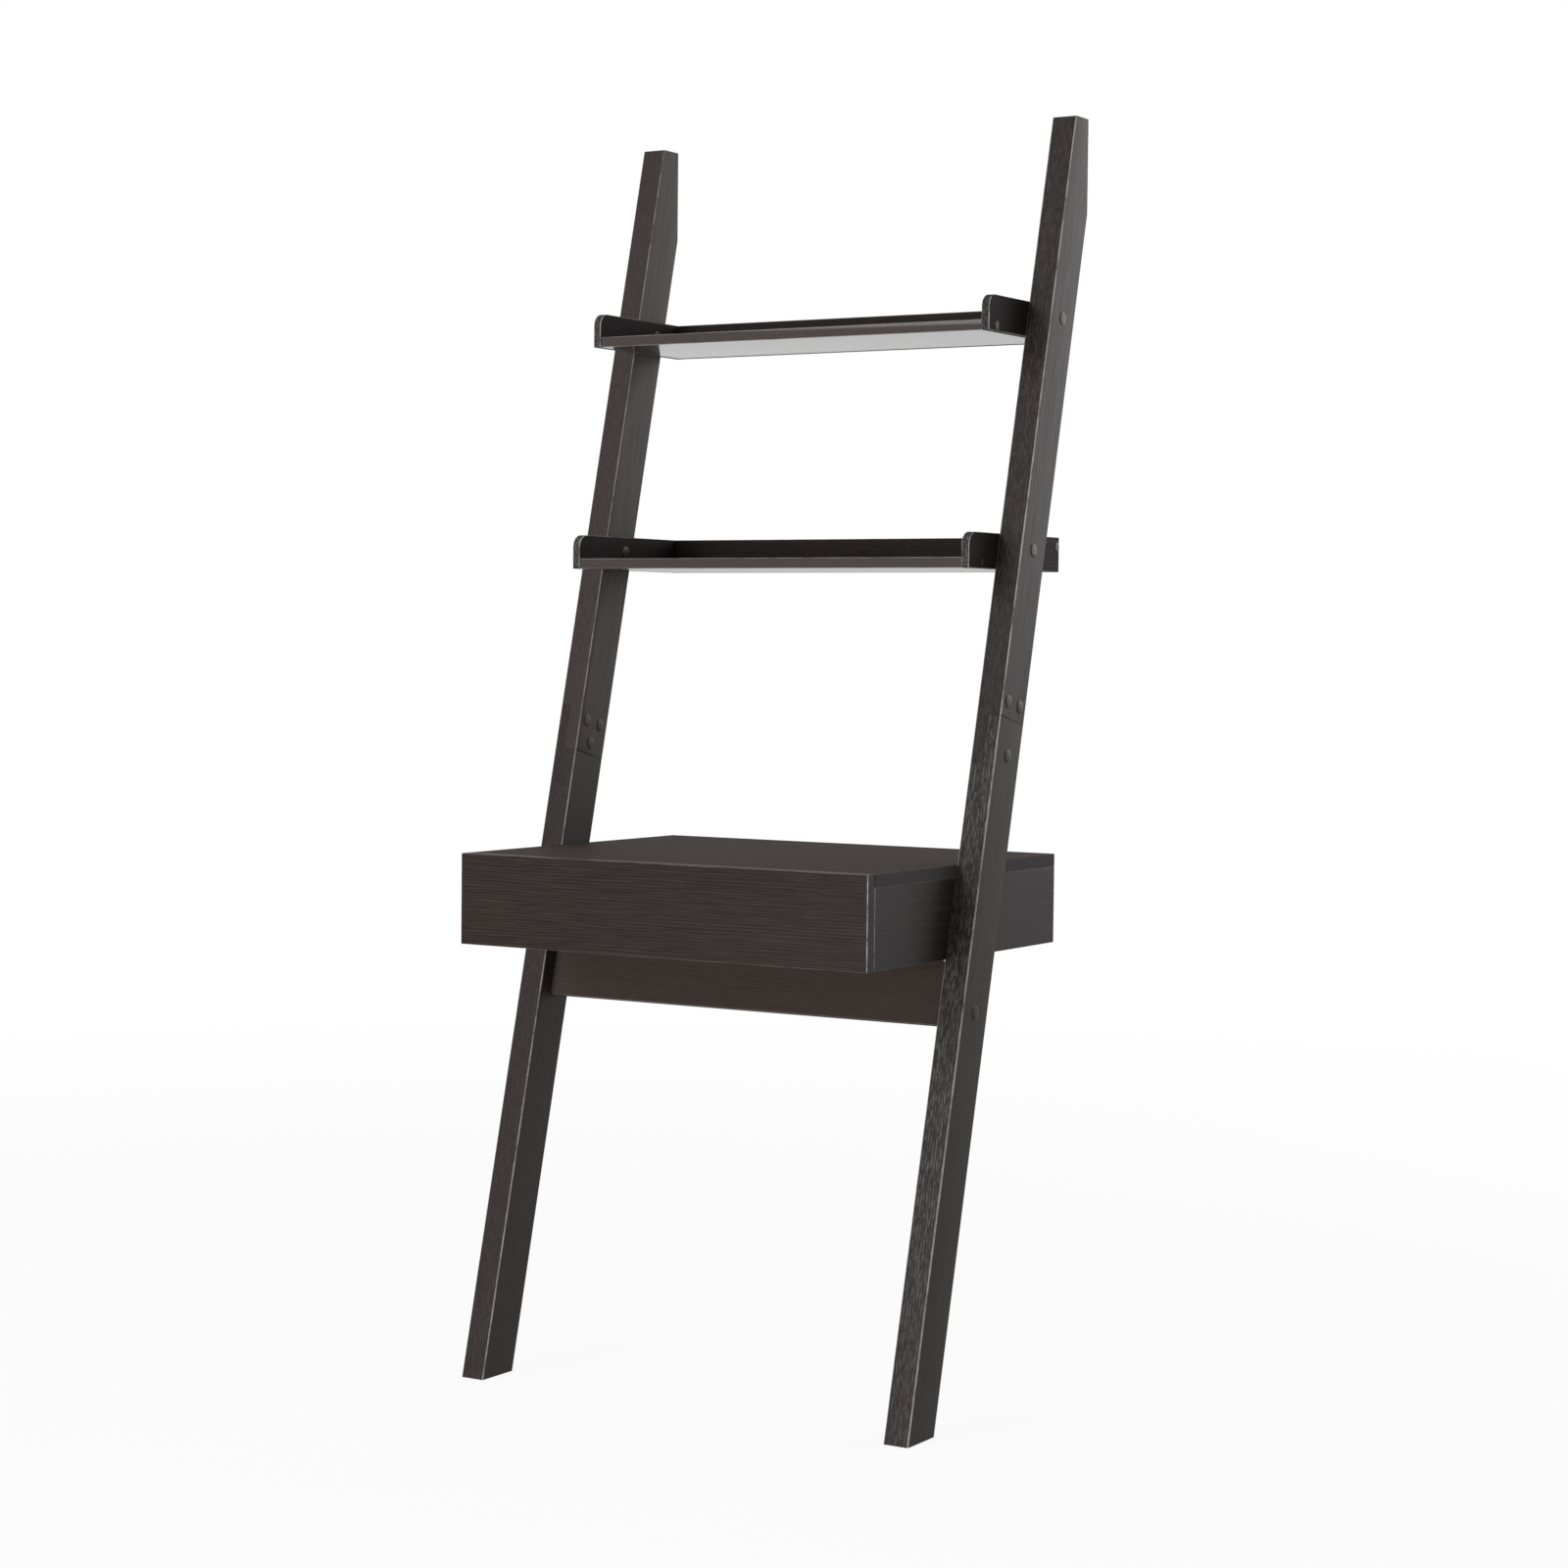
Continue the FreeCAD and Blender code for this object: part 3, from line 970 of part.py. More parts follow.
def drawer_fasteners():
    """The drawer's cam locks, cam bolts, dowels and screws, and its rails' screws and pins."""
    cams, cam_bolts, dowels, screws, rail_screws, pins = [], [], [], [], [], []
    for side in SIDES:
        outside = from_side(side, DRAWER_HALF)
        middle = from_side(side, f"{DRAWER_HALF} - drawer_side_thickness / 2")
        cam_level = f"{DRAWER_FLOOR} + {DRAWER_CAM_RISE}"
        turn = OUTWARD[side].multiply(QUARTER)
        cams.append((drawer_cam, outside, f"{DRAWER_SIDE_Y} + cam_reach", cam_level, turn))
        cam_bolts.append((cam_bolt, middle, DRAWER_SIDE_Y, cam_level, TO_WALL))
        dowel_level = f"{DRAWER_FLOOR} + {DRAWER_DOWEL_RISE}"
        dowels.append((dowel, middle, f"{DRAWER_SIDE_Y} - drawer_dowel_seat", dowel_level, TO_WALL))
        back_middle = f"{DRAWER_BACK_Y} + drawer_back_thickness / 2"
        for rise in DRAWER_SCREW_RISES:
            screws.append((screw, outside, back_middle, f"{DRAWER_FLOOR} + {rise}", OUTWARD[side]))
        web = from_side(side, f"{DRAWER_HALF} + slide_metal")
        head = from_side(side, f"{DRAWER_HALF} + slide_metal + rail_screw_head")
        rail_screws += [(rail_screw, head, y, DRAWER_SCREW_Z, OUTWARD[side]) for y in DRAWER_SCREW_YS]
        pins.append((roller_pin, web, REAR_ROLLER_Y, REAR_ROLLER_Z, OUTWARD[side]))
    group("drawer_cam_locks", cams)
    group("drawer_cam_bolts", cam_bolts)
    group("drawer_dowels", dowels)
    group("drawer_screws", screws)
    group("drawer_rail_screws", rail_screws)
    group("rear_roller_pins", pins)


ladder_fasteners()
tray_fasteners()
desk_fasteners()
drawer_fasteners()
document.recompute()

# Every object must have recomputed, every cut must have removed wood, and every node must be sound
for thing in document.Objects:
    if "Invalid" in thing.State or "Error" in thing.State:
        raise RuntimeError(f"{thing.Label} did not recompute: {thing.State}")
    if thing.TypeId == "PartDesign::Pocket" and thing.Shape.Volume >= thing.BaseFeature.Shape.Volume:
        raise RuntimeError(f"{thing.Label} cuts nothing")
for node in nodes:
    if node.Shape.isNull() or not node.Shape.isValid():
        raise RuntimeError(f"{node.Label} has no sound shape")
os.makedirs("parts", exist_ok=True)
for node in nodes:
    node.Shape.exportStep(f"parts/{node.Label}.step")
print(len(nodes), "nodes,", sum(len(node.Shape.Solids) for node in nodes), "solids")
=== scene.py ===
"""Looks of a leaning ladder desk: stained boards, cover caps, fasteners and roller slides."""

from __future__ import annotations

import json
import logging
import math
import random
from dataclasses import dataclass, replace
from enum import Enum
from typing import Any, Callable, Sequence, Union

import bmesh
import bpy
from bmesh.types import BMesh, BMFace
from bpy.types import ID, Material, Mesh, Node, NodeSocket, NodeTree, Object
from mathutils import Matrix, Vector

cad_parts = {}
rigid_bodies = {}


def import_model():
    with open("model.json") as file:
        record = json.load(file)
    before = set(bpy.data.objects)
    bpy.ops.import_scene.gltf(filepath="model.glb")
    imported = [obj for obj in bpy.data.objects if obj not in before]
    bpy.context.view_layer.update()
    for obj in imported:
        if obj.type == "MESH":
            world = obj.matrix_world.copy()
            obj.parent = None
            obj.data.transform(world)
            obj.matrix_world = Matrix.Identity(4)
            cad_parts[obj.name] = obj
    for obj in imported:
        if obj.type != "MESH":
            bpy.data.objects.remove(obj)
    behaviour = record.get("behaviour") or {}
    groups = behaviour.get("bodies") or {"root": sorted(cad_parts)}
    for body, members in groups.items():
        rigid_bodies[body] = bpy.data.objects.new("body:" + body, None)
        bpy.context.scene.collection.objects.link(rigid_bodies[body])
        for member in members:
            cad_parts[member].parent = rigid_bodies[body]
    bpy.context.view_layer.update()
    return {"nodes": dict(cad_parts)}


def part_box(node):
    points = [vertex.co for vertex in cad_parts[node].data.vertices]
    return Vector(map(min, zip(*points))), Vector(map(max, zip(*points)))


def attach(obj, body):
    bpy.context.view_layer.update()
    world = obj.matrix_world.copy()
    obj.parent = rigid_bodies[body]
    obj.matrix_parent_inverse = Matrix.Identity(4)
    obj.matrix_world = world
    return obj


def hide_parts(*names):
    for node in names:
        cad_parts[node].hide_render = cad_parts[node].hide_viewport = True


log = logging.getLogger("ladder_desk")

Colour = tuple[float, float, float, float]
Limits = tuple[float, float]
Profile = tuple[tuple[float, float], ...]
Number = Union["Value", float]
FaceShare = Callable[[Vector], float]
Way = Callable[[Vector], Vector]

SIDES = ("left", "right")
WHITE: Colour = (1, 1, 1, 1)
X_AXIS = Vector((1, 0, 0))
Y_AXIS = Vector((0, 1, 0))
Z_AXIS = Vector((0, 0, 1))
# A stile leans towards the wall by the first length in a height of the second, in millimetres.
LEAN = math.atan(446 / 1820)
# Faces that meet at less than this angle are shaded as one surface.
SHARP = math.radians(50)
# Corners that are nearer than this are one corner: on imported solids, and on turned shapes.
SOLID_WELD = 2e-6
TURNED_WELD = 1e-7
# What is nearer than this to a cut or to a level is on it.
ON_CUT = 1e-6
ON_LEVEL = 1e-5
# Triangles that meet at less than this angle are parts of one flat face.
FLAT_EDGE = math.radians(1)
# How well a face has to look one way, as a cosine, from quite square on to only in part.
SQUARE_ON, NEARLY_SQUARE, FLAT, FACING, PARTLY = 0.99, 0.95, 0.9, 0.6, 0.2
# The pores of a face that is filled and sealed.
FILLED = 0.04
# Half the width of a cross recess's arms, as a share of their reach.
CROSS_ARM = 0.26


class Grain(Enum):
    """The way the grain of a board runs in the object."""

    ALONG_WIDTH = "width"
    ALONG_DEPTH = "depth"
    ALONG_STILE = "stile"

    def frame(self) -> Matrix:
        """Give the board's own axes.

        Returns:
            A rotation whose rows are the board's length, its second direction and their normal.
        """
        run, rise = math.sin(LEAN), math.cos(LEAN)
        rows = {
            Grain.ALONG_WIDTH: ((1, 0, 0), (0, 1, 0), (0, 0, 1)),
            Grain.ALONG_DEPTH: ((0, 1, 0), (-1, 0, 0), (0, 0, 1)),
            Grain.ALONG_STILE: ((0, run, rise), (0, rise, -run), (-1, 0, 0)),
        }
        return Matrix(rows[self])


class Slot(Enum):
    """The material slots of the part's record."""

    ESPRESSO = "espresso_wood"
    BOX = "drawer_box_wood"
    BOTTOM = "drawer_board"
    CAP = "cap_plastic"
    STEEL = "zinc_steel"
    SLIDE = "slide_paint"
    NYLON = "roller_nylon"
    DOWEL = "dowel_wood"


class Value:
    """A number that varies over a surface; its operators add Math nodes."""

    def __init__(self, graph: Graph, socket: NodeSocket) -> None:
        """Wrap one float output of a graph."""
        self.graph = graph
        self.socket = socket

    def math(self, operation: str, *operands: Number) -> Value:
        """Add one Math node.

        Args:
            operation: The node's operation.
            operands: Its inputs in order.

        Returns:
            The node's result.
        """
        settings = {"operation": operation}
        node = self.graph.node("ShaderNodeMath", settings, dict(enumerate(operands)))
        return Value(self.graph, node.outputs[0])

    def __add__(self, other: Number) -> Value:
        """Sum."""
        return self.math("ADD", self, other)

    def __radd__(self, other: Number) -> Value:
        """Sum, with the number first."""
        return self.math("ADD", other, self)

    def __sub__(self, other: Number) -> Value:
        """Difference."""
        return self.math("SUBTRACT", self, other)

    def __rsub__(self, other: Number) -> Value:
        """Difference, with the number first."""
        return self.math("SUBTRACT", other, self)

    def __mul__(self, other: Number) -> Value:
        """Product."""
        return self.math("MULTIPLY", self, other)

    def __rmul__(self, other: Number) -> Value:
        """Product, with the number first."""
        return self.math("MULTIPLY", other, self)

    def sine(self) -> Value:
        """The sine of an angle."""
        return self.math("SINE", self)

    def greatest(self, other: Number) -> Value:
        """The larger of two values."""
        return self.math("MAXIMUM", self, other)

    def swing(self, weight: float) -> Value:
        """The value's distance from a half, times a weight."""
        return (self - 0.5) * weight

    def from_least(self, least: float) -> Value:
        """The same value on a scale that starts at a least one and still ends at 1."""
        return self * (1 - least) + least

    def step(self, low: float, high: float) -> Value:
        """Turn the value into a smooth step.

        Args:
            low: Where the step starts from 0.
            high: Where it reaches 1.

        Returns:
            The step.
        """
        settings = {"interpolation_type": "SMOOTHSTEP"}
        inputs = {0: self, 1: low, 2: high, 3: 0.0, 4: 1.0}
        node = self.graph.node("ShaderNodeMapRange", settings, inputs)
        return Value(self.graph, node.outputs[0])


class Graph:
    """A node tree that is filled by one method."""

    def __init__(self, tree: NodeTree) -> None:
        """Start from an empty tree."""
        self.tree = tree
        tree.nodes.clear()

    def node(self, kind: str, settings: dict[str, Any] | None = None,
             inputs: dict[int | str, Any] | None = None) -> Node:
        """Add a node.

        Args:
            kind: The node's type.
            settings: Its own settings, set first.
            inputs: Values or links of its sockets, by name or number.

        Returns:
            The new node.
        """
        made = self.tree.nodes.new(kind)
        for key, setting in (settings or {}).items():
            setattr(made, key, setting)
        for key, given in (inputs or {}).items():
            source = given.socket if isinstance(given, Value) else given
            if isinstance(source, NodeSocket):
                self.tree.links.new(source, made.inputs[key])
            else:
                made.inputs[key].default_value = source
        return made


@dataclass(frozen=True)
class Layer:
    """One layer of noise in a finish, and how much it counts.

    The scale is in features per metre along each axis, and the limits turn the noise into a mask.
    The last three are its weights in the colour, in the roughness and in the height.
    """

    scale: tuple[float, float, float]
    detail: float = 2.0
    fineness: float = 0.5
    limits: Limits | None = None
    tint: float = 0.0
    gloss: float = 0.0
    height: float = 0.0


class FinishGraph(Graph):
    """The nodes of one finish, with what finishes have in common."""

    def __init__(self, name: str) -> None:
        """Make the material and read the object's own coordinates.

        Args:
            name: The material's name.
        """
        self.material = bpy.data.materials.new(name)
        self.material.use_nodes = True
        super().__init__(self.material.node_tree)
        self.place = self.node("ShaderNodeTexCoord").outputs["Object"]

    def attribute(self, name: str) -> Value:
        """A number stored on the faces of a piece."""
        node = self.node("ShaderNodeAttribute", {"attribute_name": name})
        return Value(self, node.outputs["Fac"])

    def vector(self, operation: str, *operands: Any) -> NodeSocket:
        """The result of one Vector Math node on operands in order."""
        inputs = dict(enumerate(operands))
        return self.node("ShaderNodeVectorMath", {"operation": operation}, inputs).outputs[0]

    def noise(self, place: NodeSocket, layer: Layer) -> Value:
        """Lay a layer of noise over a surface.

        Args:
            place: The coordinates that it follows.
            layer: Its scale, its detail and its limits.

        Returns:
            The noise, or the mask that its limits make of it.
        """
        scaled = self.vector("MULTIPLY", place, layer.scale)
        node = self.node("ShaderNodeTexNoise", {"noise_dimensions": "3D"},
                         {"Vector": scaled, "Scale": 1.0, "Detail": layer.detail,
                          "Roughness": layer.fineness})
        value = Value(self, node.outputs[0])
        return value.step(*layer.limits) if layer.limits else value

    def mix(self, share: Value, low: Colour | NodeSocket,
            high: Colour | NodeSocket) -> NodeSocket:
        """Mix two colours.

        Args:
            share: How much of the second one there is.
            low: The first colour.
            high: The second colour.

        Returns:
            The mixed colour.
        """
        # The sockets go by number, because the node has one of each name for every kind of data.
        node = self.node("ShaderNodeMix", {"data_type": "RGBA"}, {0: share, 6: low, 7: high})
        return node.outputs[2]

    def close(self, colour: NodeSocket, roughness: Value, height: Value, relief: float,
              sockets: dict[str, Any]) -> Material:
        """End the finish in one shader.

        Args:
            colour: The varying colour.
            roughness: The varying roughness.
            height: The varying height for the bump.
            relief: The bump's height in metres.
            sockets: What else the shader is given.

        Returns:
            The finished material.
        """
        bump = self.node("ShaderNodeBump", None,
                         {"Strength": 1.0, "Distance": relief, "Height": height})
        shader = self.node("ShaderNodeBsdfPrincipled", None,
                           {"Base Color": colour, "Roughness": roughness,
                            "Normal": bump.outputs[0], **sockets})
        self.node("ShaderNodeOutputMaterial", None, {"Surface": shader.outputs[0]})
        return self.material


@dataclass(frozen=True)
class Coating:
    """What all finishes have: a name, a slot of the record and the two ends of their colour."""

    name: str
    slot: Slot
    dark: Colour
    light: Colour

    def material(self) -> Material:
        """The finish as a material on the object's own coordinates."""
        raise NotImplementedError


@dataclass(frozen=True)
class StainedWood(Coating):
    """Stained and sealed wood: streaks, rows of open pores, changes of tone, arrises lightened by
    wear and a painted highlight, and lap seams darkened as painted shade.
    """

    grain: Grain
    fleck: Colour = (0.21, 0.209, 0.21, 1)
    # Light grey on the chamfered arrises: partly worn edges, partly a painted highlight where the
    # arrises catch the light.
    wear_and_highlight: Colour = (0.6, 0.59, 0.585, 1)
    # Near black in the half-lap seams and the strips beside them: painted shade of the joint's
    # groove.
    joint: Colour = (0.004, 0.003, 0.0028, 1)
    band: Colour = (0.021, 0.018, 0.0178, 1)
    roughness: float = 0.5
    specular: float = 0.1
    coat_roughness: float = 0.1
    relief: float = 0.0004
    tone: Layer = Layer((1.4, 9, 9), 3.0, tint=0.6, gloss=0.1)
    streak: Layer = Layer((13, 250, 250), 1.0, tint=1.0, gloss=0.14, height=0.5)
    hair: Layer = Layer((20, 900, 900), 2.0, 0.55, tint=0.9, height=0.3)
    drift: Layer = Layer((5, 45, 45), 2.0)
    pore: Layer = Layer((80, 420, 420), 3.0, 0.7, limits=(0.38, 0.66), height=0.8)
    patch: Layer = Layer((3, 14, 14), 1.0, limits=(0.25, 0.6))
    bend: Layer = Layer((1.2, 12, 12), 1.0)
    # Breaks the arrises' wear and painted highlight into a broken line.
    wear_and_highlight_breakup: Layer = Layer((26, 70, 70), 3.0, 0.7, limits=(0.2, 0.6))
    line_spacing: float = 0.0043
    line_drift: float = 16.0
    line_tint: float = 0.22
    row_bend: float = 4.0
    row_limits: Limits = (-0.4, 0.7)
    row_least: float = 0.3
    patch_least: float = 0.6
    tint_limits: Limits = (-0.1, 1.1)

    def material(self) -> Material:
        """Make a material that follows each board's own grain.

        Returns:
            The finished material.
        """
        graph = FinishGraph(self.name)
        along = self.along_board(graph)
        tone, streak, hair, drift, wear_and_highlight_breakup = (
            graph.noise(along, layer)
            for layer in (self.tone, self.streak, self.hair, self.drift, self.wear_and_highlight_breakup))
        across = self.across_grain(graph, along)
        lines = (across + drift * self.line_drift).sine()
        pores = self.open_pores(graph, along, across)
        grain = streak.swing(self.streak.tint) + hair.swing(self.hair.tint)
        grain = (grain + lines * self.line_tint) * graph.attribute("figure")
        share = grain + tone.swing(self.tone.tint) + graph.attribute("stain")
        colour = graph.mix(share.step(*self.tint_limits), self.dark, self.light)
        colour = graph.mix(graph.attribute("banded"), colour, self.band)
        colour = graph.mix(pores, colour, self.fleck)
        # The arrises are painted light: worn edges and a painted highlight.
        colour = graph.mix(graph.attribute("arris_wear_and_highlight") * wear_and_highlight_breakup, colour, self.wear_and_highlight)
        # The half-lap seams are painted dark as the shade of their groove.
        colour = graph.mix(graph.attribute("seam_shade"), colour, self.joint)
        roughness = self.roughness + streak.swing(self.streak.gloss) + tone.swing(self.tone.gloss)
        height = streak * self.streak.height + hair * self.hair.height - pores * self.pore.height
        return graph.close(colour, roughness, height, self.relief, {
            "Specular IOR Level": self.specular, "Coat Weight": graph.attribute("sealed"),
            "Coat Roughness": self.coat_roughness})

    def along_board(self, graph: FinishGraph) -> NodeSocket:
        """Lay coordinates along a board.

        Args:
            graph: The finish's nodes.

        Returns:
            Coordinates with the grain along X, moved by each board's own shift.
        """
        shift = graph.node("ShaderNodeAttribute", {"attribute_name": "board_shift"})
        moved = graph.vector("ADD", graph.place, shift.outputs["Vector"])
        turn = tuple(self.grain.frame().to_euler("XYZ"))
        node = graph.node("ShaderNodeMapping", {"vector_type": "POINT"},
                          {"Vector": moved, "Rotation": turn})
        return node.outputs[0]

    def across_grain(self, graph: FinishGraph, along: NodeSocket) -> Value:
        """Measure across the grain lines.

        Args:
            graph: The finish's nodes.
            along: The board's own coordinates.

        Returns:
            An angle that grows by a full turn from line to line.
        """
        parts = graph.node("ShaderNodeSeparateXYZ", None, {0: along}).outputs
        reach = Value(graph, parts["Y"]) + Value(graph, parts["Z"])
        return reach * (math.tau / self.line_spacing)

    def open_pores(self, graph: FinishGraph, along: NodeSocket, across: Value) -> Value:
        """How open the pores are: in rows along the grain lines, and in patches.

        Args:
            graph: The finish's nodes.
            along: The board's own coordinates.
            across: The angle of the grain lines.

        Returns:
            The share of the pores' colour.
        """
        rows = (across + graph.noise(along, self.bend) * self.row_bend).sine()
        rows = rows.step(*self.row_limits).from_least(self.row_least)
        patches = graph.noise(along, self.patch).from_least(self.patch_least)
        return graph.attribute("pores") * graph.noise(along, self.pore) * rows * patches


@dataclass(frozen=True)
class PressedBoard(Coating):
    """Hardboard with a dark printed face: short fibres and soft clouds."""

    grain: Grain = Grain.ALONG_WIDTH
    roughness: float = 0.62
    specular: float = 0.3
    relief: float = 0.00025
    fibre: Layer = Layer((420, 160, 420), 4.0, 0.65, tint=1.5, gloss=0.2)
    cloud: Layer = Layer((9, 9, 9), tint=0.8)

    def material(self) -> Material:
        """Make a material on the object's own coordinates.

        Returns:
            The finished material.
        """
        graph = FinishGraph(self.name)
        fibres, clouds = (graph.noise(graph.place, layer) for layer in (self.fibre, self.cloud))
        share = fibres.swing(self.fibre.tint) + clouds.swing(self.cloud.tint) + 0.5
        colour = graph.mix(share.step(0.0, 1.0), self.dark, self.light)
        roughness = self.roughness + fibres.swing(self.fibre.gloss)
        return graph.close(colour, roughness, fibres, self.relief,
                           {"Specular IOR Level": self.specular})


@dataclass(frozen=True)
class MouldedPlastic(Coating):
    """Moulded plastic with a fine spark texture and a little uneven gloss."""

    roughness: float
    specular: float
    relief: float = 0.00006
    spark: Layer = Layer((1400, 1400, 1400), 2.0, 0.6)
    sheen: Layer = Layer((160, 160, 160), tint=1.4, gloss=0.16)

    def material(self) -> Material:
        """Make a material on the object's own coordinates.

        Returns:
            The finished material.
        """
        graph = FinishGraph(self.name)
        spark, sheen = (graph.noise(graph.place, layer) for layer in (self.spark, self.sheen))
        share = (sheen.swing(self.sheen.tint) + 0.5).step(0.0, 1.0)
        colour = graph.mix(share, self.dark, self.light)
        roughness = self.roughness + sheen.swing(self.sheen.gloss)
        return graph.close(colour, roughness, spark, self.relief,
                           {"Specular IOR Level": self.specular})


@dataclass(frozen=True)
class CoatedMetal(Coating):
    """Sheet or turned metal with a coating: plating marks or paint texture, and worn spots."""

    worn: Colour
    metallic: float
    roughness: float
    relief: float = 0.00008
    mark: Layer = Layer((90, 90, 90), 3.0, 0.6, gloss=0.2)
    mark_limits: Limits = (0.25, 0.75)
    peel: Layer = Layer((700, 700, 700))
    wear: Layer = Layer((260, 14, 260), 4.0, 0.7, limits=(0.6, 0.72), tint=0.5, gloss=0.08)

    def material(self) -> Material:
        """Make a material on the object's own coordinates.

        Returns:
            The finished material.
        """
        graph = FinishGraph(self.name)
        marks, peel, wear = (graph.noise(graph.place, layer)
                             for layer in (self.mark, self.peel, self.wear))
        colour = graph.mix(marks.step(*self.mark_limits), self.dark, self.light)
        colour = graph.mix(wear * self.wear.tint, colour, self.worn)
        roughness = self.roughness + marks.swing(self.mark.gloss) - wear * self.wear.gloss
        return graph.close(colour, roughness, peel, self.relief, {"Metallic": self.metallic})


class Finish(Enum):
    """The finishes of the desk, each with its slot in the record."""

    # The dark stain of the veneered boards that show.
    VENEER = StainedWood(
        "espresso_along_width", Slot.ESPRESSO, dark=(0.0135, 0.0088, 0.0072, 1),
        light=(0.036, 0.0252, 0.021, 1), grain=Grain.ALONG_WIDTH)
    # The greyer stain of the sides of the desk box.
    BOX_SIDE = StainedWood(
        "grey_espresso_along_depth", Slot.ESPRESSO, dark=(0.0115, 0.0088, 0.0084, 1),
        light=(0.0325, 0.025, 0.0242, 1), grain=Grain.ALONG_DEPTH, specular=0.13)
    # The stain of the solid wood of the stiles.
    STILE = StainedWood(
        "espresso_along_stile", Slot.ESPRESSO, dark=(0.0126, 0.0085, 0.0081, 1),
        light=(0.0356, 0.0242, 0.0232, 1), grain=Grain.ALONG_STILE, specular=0.13)
    # A nearly black, dull stain on the ends of the trays, set darker partly as painted shade where
    # the stiles shadow them.
    TRAY_END = StainedWood(
        "espresso_dull_and_shaded_along_depth", Slot.ESPRESSO, dark=(0.0085, 0.0066, 0.0064, 1),
        light=(0.025, 0.0194, 0.0188, 1), grain=Grain.ALONG_DEPTH, roughness=0.62, specular=0.05)
    # A stain worn matt, on the top that is written on and on the stretcher.
    MATT = StainedWood(
        "espresso_matt", Slot.ESPRESSO, dark=(0.0207, 0.0147, 0.0124, 1),
        light=(0.0592, 0.0442, 0.0377, 1), grain=Grain.ALONG_WIDTH,
        band=(0.051, 0.0465, 0.047, 1), roughness=0.72, specular=0.04)
    # The duller stain of the drawer's box, on its back and on its sides.
    DRAWER_BACK = StainedWood(
        "drawer_box_along_width", Slot.BOX, dark=(0.022, 0.016, 0.013, 1),
        light=(0.056, 0.043, 0.036, 1), grain=Grain.ALONG_WIDTH, wear_and_highlight=(0.2, 0.17, 0.15, 1),
        roughness=0.6)
    DRAWER_SIDE = replace(DRAWER_BACK, name="drawer_box_along_depth", grain=Grain.ALONG_DEPTH)
    # The thin bottom of the drawer.
    HARDBOARD = PressedBoard(
        "dark_hardboard", Slot.BOTTOM, dark=(0.024, 0.018, 0.015, 1),
        light=(0.062, 0.049, 0.041, 1))
    # The cover caps.
    CAP = MouldedPlastic(
        "cap_brown", Slot.CAP, dark=(0.015, 0.0084, 0.0069, 1), light=(0.032, 0.0176, 0.0146, 1),
        roughness=0.36, specular=0.12)
    # Bright zinc on the fasteners.
    ZINC = CoatedMetal(
        "bright_zinc", Slot.STEEL, dark=(0.42, 0.42, 0.4, 1), light=(0.66, 0.66, 0.63, 1),
        worn=(0.3, 0.29, 0.27, 1), metallic=1.0, roughness=0.34)
    # Dark paint on the slides.
    SLIDE = CoatedMetal(
        "slide_dark_paint", Slot.SLIDE, dark=(0.02, 0.017, 0.015, 1),
        light=(0.05, 0.043, 0.038, 1), worn=(0.3, 0.29, 0.28, 1), metallic=0.0, roughness=0.45,
        mark=Layer((60, 8, 60), 3.0, 0.6, gloss=0.2))
    # The off-white rollers.
    NYLON = MouldedPlastic(
        "roller_white", Slot.NYLON, dark=(0.55, 0.53, 0.47, 1), light=(0.74, 0.72, 0.66, 1),
        roughness=0.42, specular=0.5)
    # The raw wood of the dowels.
    BEECH = StainedWood(
        "raw_beech", Slot.DOWEL, dark=(0.36, 0.24, 0.14, 1), light=(0.6, 0.44, 0.28, 1),
        grain=Grain.ALONG_WIDTH, fleck=(0.3, 0.2, 0.12, 1), wear_and_highlight=(0.62, 0.47, 0.32, 1),
        roughness=0.7)


def placed(name: str, data: ID) -> Object:
    """Put a new object in the scene, at the origin.

    Args:
        name: Its name.
        data: Its mesh, lamp or camera.

    Returns:
        The object.
    """
    piece = bpy.data.objects.new(name, data)
    bpy.context.scene.collection.objects.link(piece)
    return piece


def shade_evenly(piece: Object) -> None:
    """Let the large faces of a piece set its shading, up to its sharp corners."""
    shade = piece.modifiers.new("even_shading", "WEIGHTED_NORMAL")
    shade.keep_sharp = True


def merged_shell(source: Object) -> BMesh:
    """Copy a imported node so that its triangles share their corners.

    Args:
        source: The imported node.

    Returns:
        The copy.
    """
    shell = bmesh.new()
    shell.from_mesh(source.data)
    bmesh.ops.remove_doubles(shell, verts=shell.verts, dist=SOLID_WELD)
    return shell


def merged_copy(source: Object, name: str, material: Material,
                change: Callable[[BMesh], None]) -> Mesh:
    """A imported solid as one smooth-shaded shell with sharp corners.

    Args:
        source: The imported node.
        name: The new mesh's name.
        material: Its finish.
        change: What is done to the shell, such as marks stored on its faces.

    Returns:
        The new mesh.
    """
    shell = merged_shell(source)
    for face in shell.faces:
        face.smooth = True
    for edge in shell.edges:
        edge.smooth = len(edge.link_faces) == 2 and edge.calc_face_angle() < SHARP
    shell.normal_update()
    change(shell)
    mesh = bpy.data.meshes.new(name)
    shell.to_mesh(mesh)
    shell.free()
    if "custom_normal" in mesh.attributes:
        mesh.attributes.remove(mesh.attributes["custom_normal"])
    mesh.materials.append(material)
    return mesh


